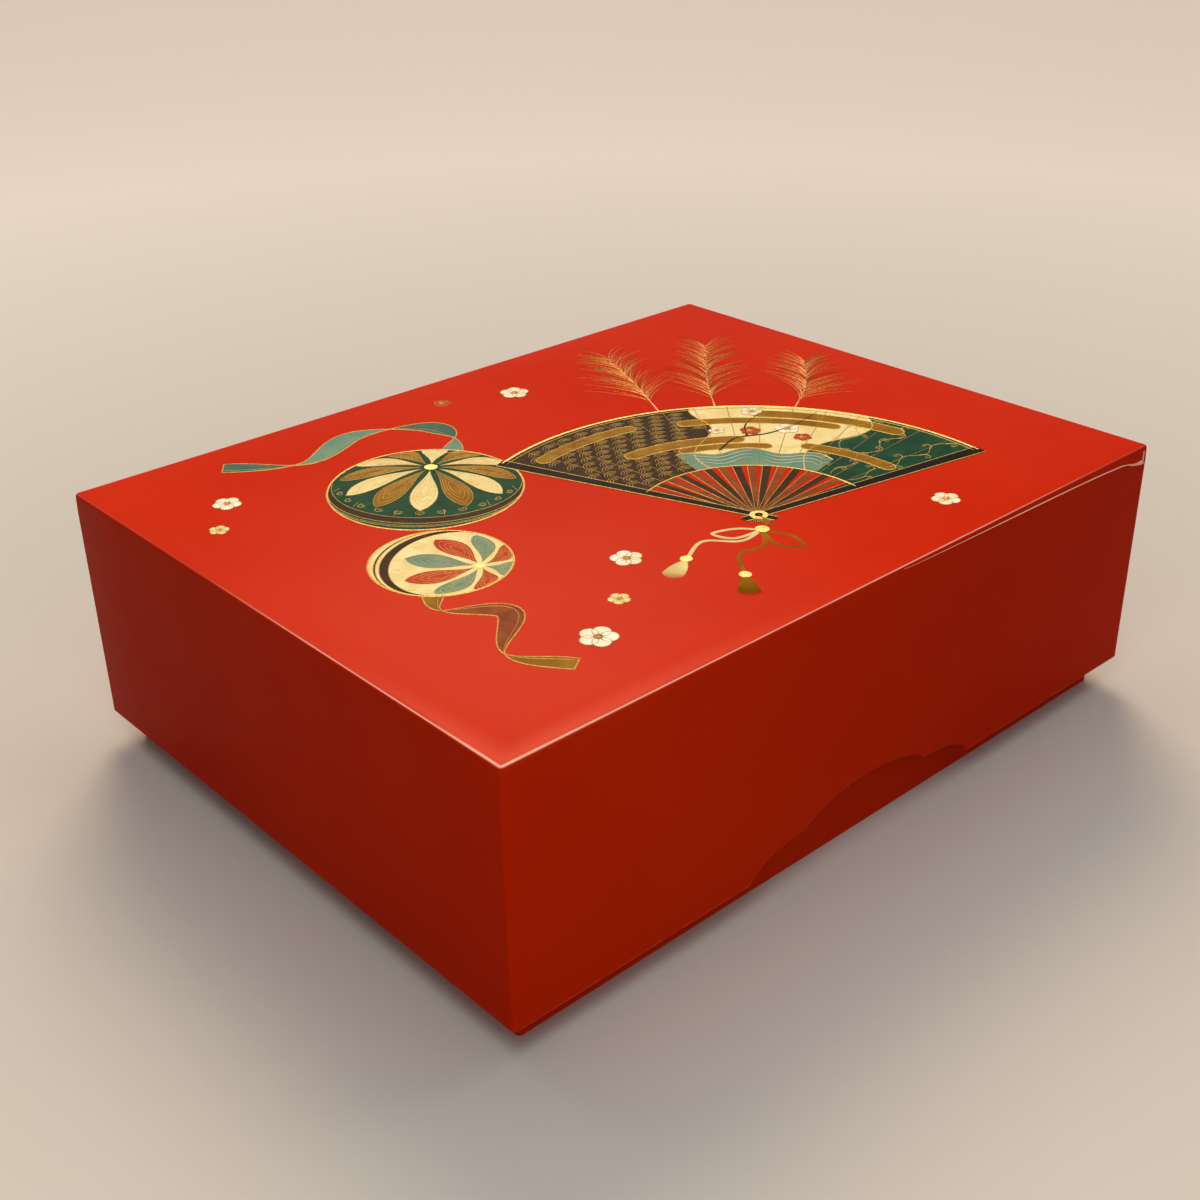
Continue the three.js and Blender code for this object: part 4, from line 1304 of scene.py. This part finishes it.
def build_brush(brush, tip_length):
    """A bamboo brush: a jointed handle, a hair tip and a cap."""
    low, high = reach(f"{brush}_handle")
    radius, length = (high[0] - low[0]) / 2 - CANE_CLEARANCE, high[1] - low[1]
    origin = ((low[0] + high[0]) / 2, low[1], (low[2] + high[2]) / 2)
    profile, wear = zip(*cane_stations(radius, length))
    lathe(f"{brush}_cane", origin, profile, brush, CANE, "bamboo", [f"{brush}_handle"], wear)
    build_tip(brush, origin, radius, length + TIP_START, tip_length)
    cap_low, cap_high = reach(f"{brush}_cap")
    outer = (cap_high[0] - cap_low[0]) / 2
    stations = cap_stations(outer, outer - CAP_WALL, cap_low[1] - origin[1], cap_high[1] - origin[1])
    profile, wear = zip(*stations)
    lathe(f"{brush}_cap_cane", origin, profile, f"{brush}_cap", CANE, "bamboo", [f"{brush}_cap"], wear)


def build_tip(brush, origin, radius, start, length):
    """A bundle of hair: a core and single hairs that run to the point."""
    def girth(share):
        belly = 1 + 0.08 * sin(pi * min(share * 1.6, 1.0))
        return (radius - 0.8) * belly * max(1 - share**2.1, 0.0) ** 0.8

    def stain(share):
        return clamp((share - INK_STAIN_FROM) / 0.3)

    shares = [i / 24 for i in range(24)]
    profile = [(max(0.93 * girth(share), 0.1), start + share * length * 0.985) for share in shares]
    wear = [stain(share) for share in shares]
    lathe(f"{brush}_hair_core", origin, profile, brush, HAIR, "brush_hair", [f"{brush}_tip"], wear)
    rng = random.Random(5)
    points, faces, values = [], [], []
    hairs, steps = 150, 12
    for _ in range(hairs):
        angle, wander, reach_to = rng.uniform(0, 2 * pi), rng.uniform(-0.25, 0.25), rng.uniform(0.86, 1.0)
        first = len(points)
        for share in spaced(0.0, reach_to, steps):
            turn, width = angle + wander * share, 0.4 * (1 - 0.75 * share)
            for side, lift in ((-0.5, -0.1), (0.0, 0.16), (0.5, -0.1)):
                bend = turn + side * width / max(girth(share), 0.6)
                r = girth(share) * 0.95 + lift * (1 - 0.6 * share)
                y = origin[1] + start + share * length
                points.append((origin[0] + r * cos(bend), y, origin[2] + r * sin(bend)))
                values.append(stain(share))
        for i in range(steps):
            a, b = first + 3 * i, first + 3 * (i + 1)
            faces += [(a, b, b + 1, a + 1), (a + 1, b + 1, b + 2, a + 2), (a + 2, b + 2, b, a)]
        end = first + 3 * steps
        faces += [(first, first + 1, first + 2), (end, end + 2, end + 1)]
    mesh = make_mesh(f"{brush}_hairs", points, faces, 80.0)
    paint_wear(mesh, values)
    make_object(f"{brush}_hairs", mesh, brush, [HAIR], "brush_hair")


def build_inside():
    for node in ("left_ledge", "right_ledge"):
        rounded_copy(node, "box_body", BLACK, "black_lacquer", 0.8)
    for node in ("long_divider", "cross_divider", "front_brush_rest", "back_brush_rest"):
        rounded_copy(node, "tray", BLACK, "black_lacquer")
    for node in ("body_floor_board", "tray_floor_board"):
        keep_node(node, FLECKED)
    build_inkstone()
    build_dropper()
    build_ink_stick()
    build_brush("large_brush", 44.0)
    build_brush("small_brush", 32.0)


# Stage, in metres

FLOOR_SIDES = 96
FLOOR_FLAT = 5.0
FLOOR_RISE = 1.3
SKY_LIGHT_FROM = (0.2, 0.18, 0.96)
WINDOW_LIGHT_FROM = (-0.6, 0.46, 0.655)


def light(name, position, target, width, height, power, colour):
    data = bpy.data.lights.new(name, "AREA")
    data.shape = "RECTANGLE"
    data.size, data.size_y = width, height
    data.energy = power
    data.color = colour
    lamp = add_object(name, data)
    lamp.location = position
    lamp.rotation_euler = (Vector(target) - Vector(position)).to_track_quat("-Z", "Y").to_euler()


def seen(tree):
    """1 for rays that show a surface to the camera, directly or mirrored, 0 for those that gather light."""
    path = add_node(tree, "ShaderNodeLightPath").outputs
    mirrored = calculate(tree, "MAXIMUM", path["Is Glossy Ray"], path["Is Transmission Ray"])
    return calculate(tree, "MAXIMUM", path["Is Camera Ray"], mirrored)


def build_floor():
    """A round pale floor, painted darker in its middle round the box as painted shade, that curves up into a
    low wall far behind everything.
    """
    rings = [(0.4 * FLOOR_FLAT, 0.0), (FLOOR_FLAT, 0.0)]
    for angle in spaced(0.0, pi / 2, 8)[1:]:
        rings.append((FLOOR_FLAT + FLOOR_RISE * sin(angle), FLOOR_RISE * (1 - cos(angle))))
    points = [(0.0, 0.0, 0.0)]
    for radius, z in rings:
        points += [(radius * cos(turn), radius * sin(turn), z) for turn in turns(FLOOR_SIDES)]
    pairs = [(k, (k + 1) % FLOOR_SIDES) for k in range(FLOOR_SIDES)]
    faces = [(0, 1 + k, 1 + after) for k, after in pairs]
    for n in range(len(rings) - 1):
        a, b = 1 + n * FLOOR_SIDES, 1 + (n + 1) * FLOOR_SIDES
        faces += [(a + k, b + k, b + after, a + after) for k, after in pairs]
    mesh = bpy.data.meshes.new("floor")
    mesh.from_pydata(points, [], faces)
    mesh.shade_smooth()
    floor = add_object("floor", mesh)
    material, tree = start_material("floor", 0.8, gloss=0.1)
    distance = add_node(tree, "ShaderNodeVectorMath", {0: place(tree)}, operation="LENGTH").outputs["Value"]
    # Painted shade: the floor is darker within a metre of the box and lightest beyond.
    pale = ramp(tree, distance, (0.3, (206, 203, 198)), (1.0, (246, 243, 239)))
    mesh.materials.append(finish(material, blend_colour(tree, seen(tree), (150, 147, 143), pale)))


def facing(tree, direction):
    """How nearly a ray into the world runs along a direction, up to 1."""
    way = {0: add_node(tree, "ShaderNodeTexCoord").outputs["Generated"], 1: direction}
    return add_node(tree, "ShaderNodeVectorMath", way, operation="DOT_PRODUCT").outputs["Value"]


def build_world():
    """A dim sky that looks pale where it is seen, and a warm window in it that brings out the edges."""
    world = bpy.data.worlds.new("studio")
    world.use_nodes = True
    tree = world.node_tree
    glow = ramp(tree, facing(tree, SKY_LIGHT_FROM), (0.0, 0.09), (0.45, 0.12), (0.62, 0.35), (1.0, 0.42))
    sky = tree.nodes["Background"]
    tree.links.new(blend_colour(tree, seen(tree), glow, (204, 201, 196)), sky.inputs["Color"])
    limits = {0: facing(tree, WINDOW_LIGHT_FROM), 1: 0.945, 2: 1.0, 3: 0.0, 4: 12.0}
    strength = add_node(tree, "ShaderNodeMapRange", limits, interpolation_type="SMOOTHSTEP").outputs[0]
    window = add_node(tree, "ShaderNodeBackground", {"Color": (1.0, 0.76, 0.52, 1.0), "Strength": strength})
    both = add_node(tree, "ShaderNodeAddShader", {0: sky.outputs[0], 1: window.outputs[0]}).outputs[0]
    tree.links.new(both, tree.nodes["World Output"].inputs["Surface"])
    bpy.context.scene.world = world


def build_stage():
    build_floor()
    build_world()
    light("strip", (-0.25, 0.1, 1.1), (-0.061, -0.133, 0.05), 1.8, 0.3, 3.5, (1.0, 0.98, 0.88))
    light("near_fill", (0.3, -0.35, 0.6), (0.1, -0.12, 0.1), 0.25, 0.25, 0.75, (1.0, 0.93, 0.85))
    light("low_fill", (0.75, -0.45, 0.25), (0.0, 0.0, 0.05), 0.6, 0.3, 0.7, (1.0, 0.95, 0.9))


def build_camera():
    azimuth, elevation, roll = radians(CAMERA_AZIMUTH), radians(CAMERA_ELEVATION), radians(CAMERA_ROLL)
    back = Vector((sin(azimuth) * cos(elevation), -cos(azimuth) * cos(elevation), sin(elevation)))
    level = Vector((cos(azimuth), sin(azimuth), 0.0))
    upright = back.cross(level)
    right = cos(roll) * level + sin(roll) * upright
    up = cos(roll) * upright - sin(roll) * level
    data = bpy.data.cameras.new("camera")
    data.lens = CAMERA_LENS
    data.sensor_width = 36.0
    data.clip_start = 0.01
    camera = add_object("camera", data)
    turn = Matrix((right, up, back)).transposed().to_4x4()
    camera.matrix_world = Matrix.Translation((Vector(CAMERA_AIM) + back * CAMERA_DISTANCE) * MM) @ turn
    bpy.context.scene.camera = camera


build_camera()
build_stage()
build_shells()
build_pattern()
build_side_ridge()
build_inside()

bpy.context.scene.view_settings.view_transform = "Standard"
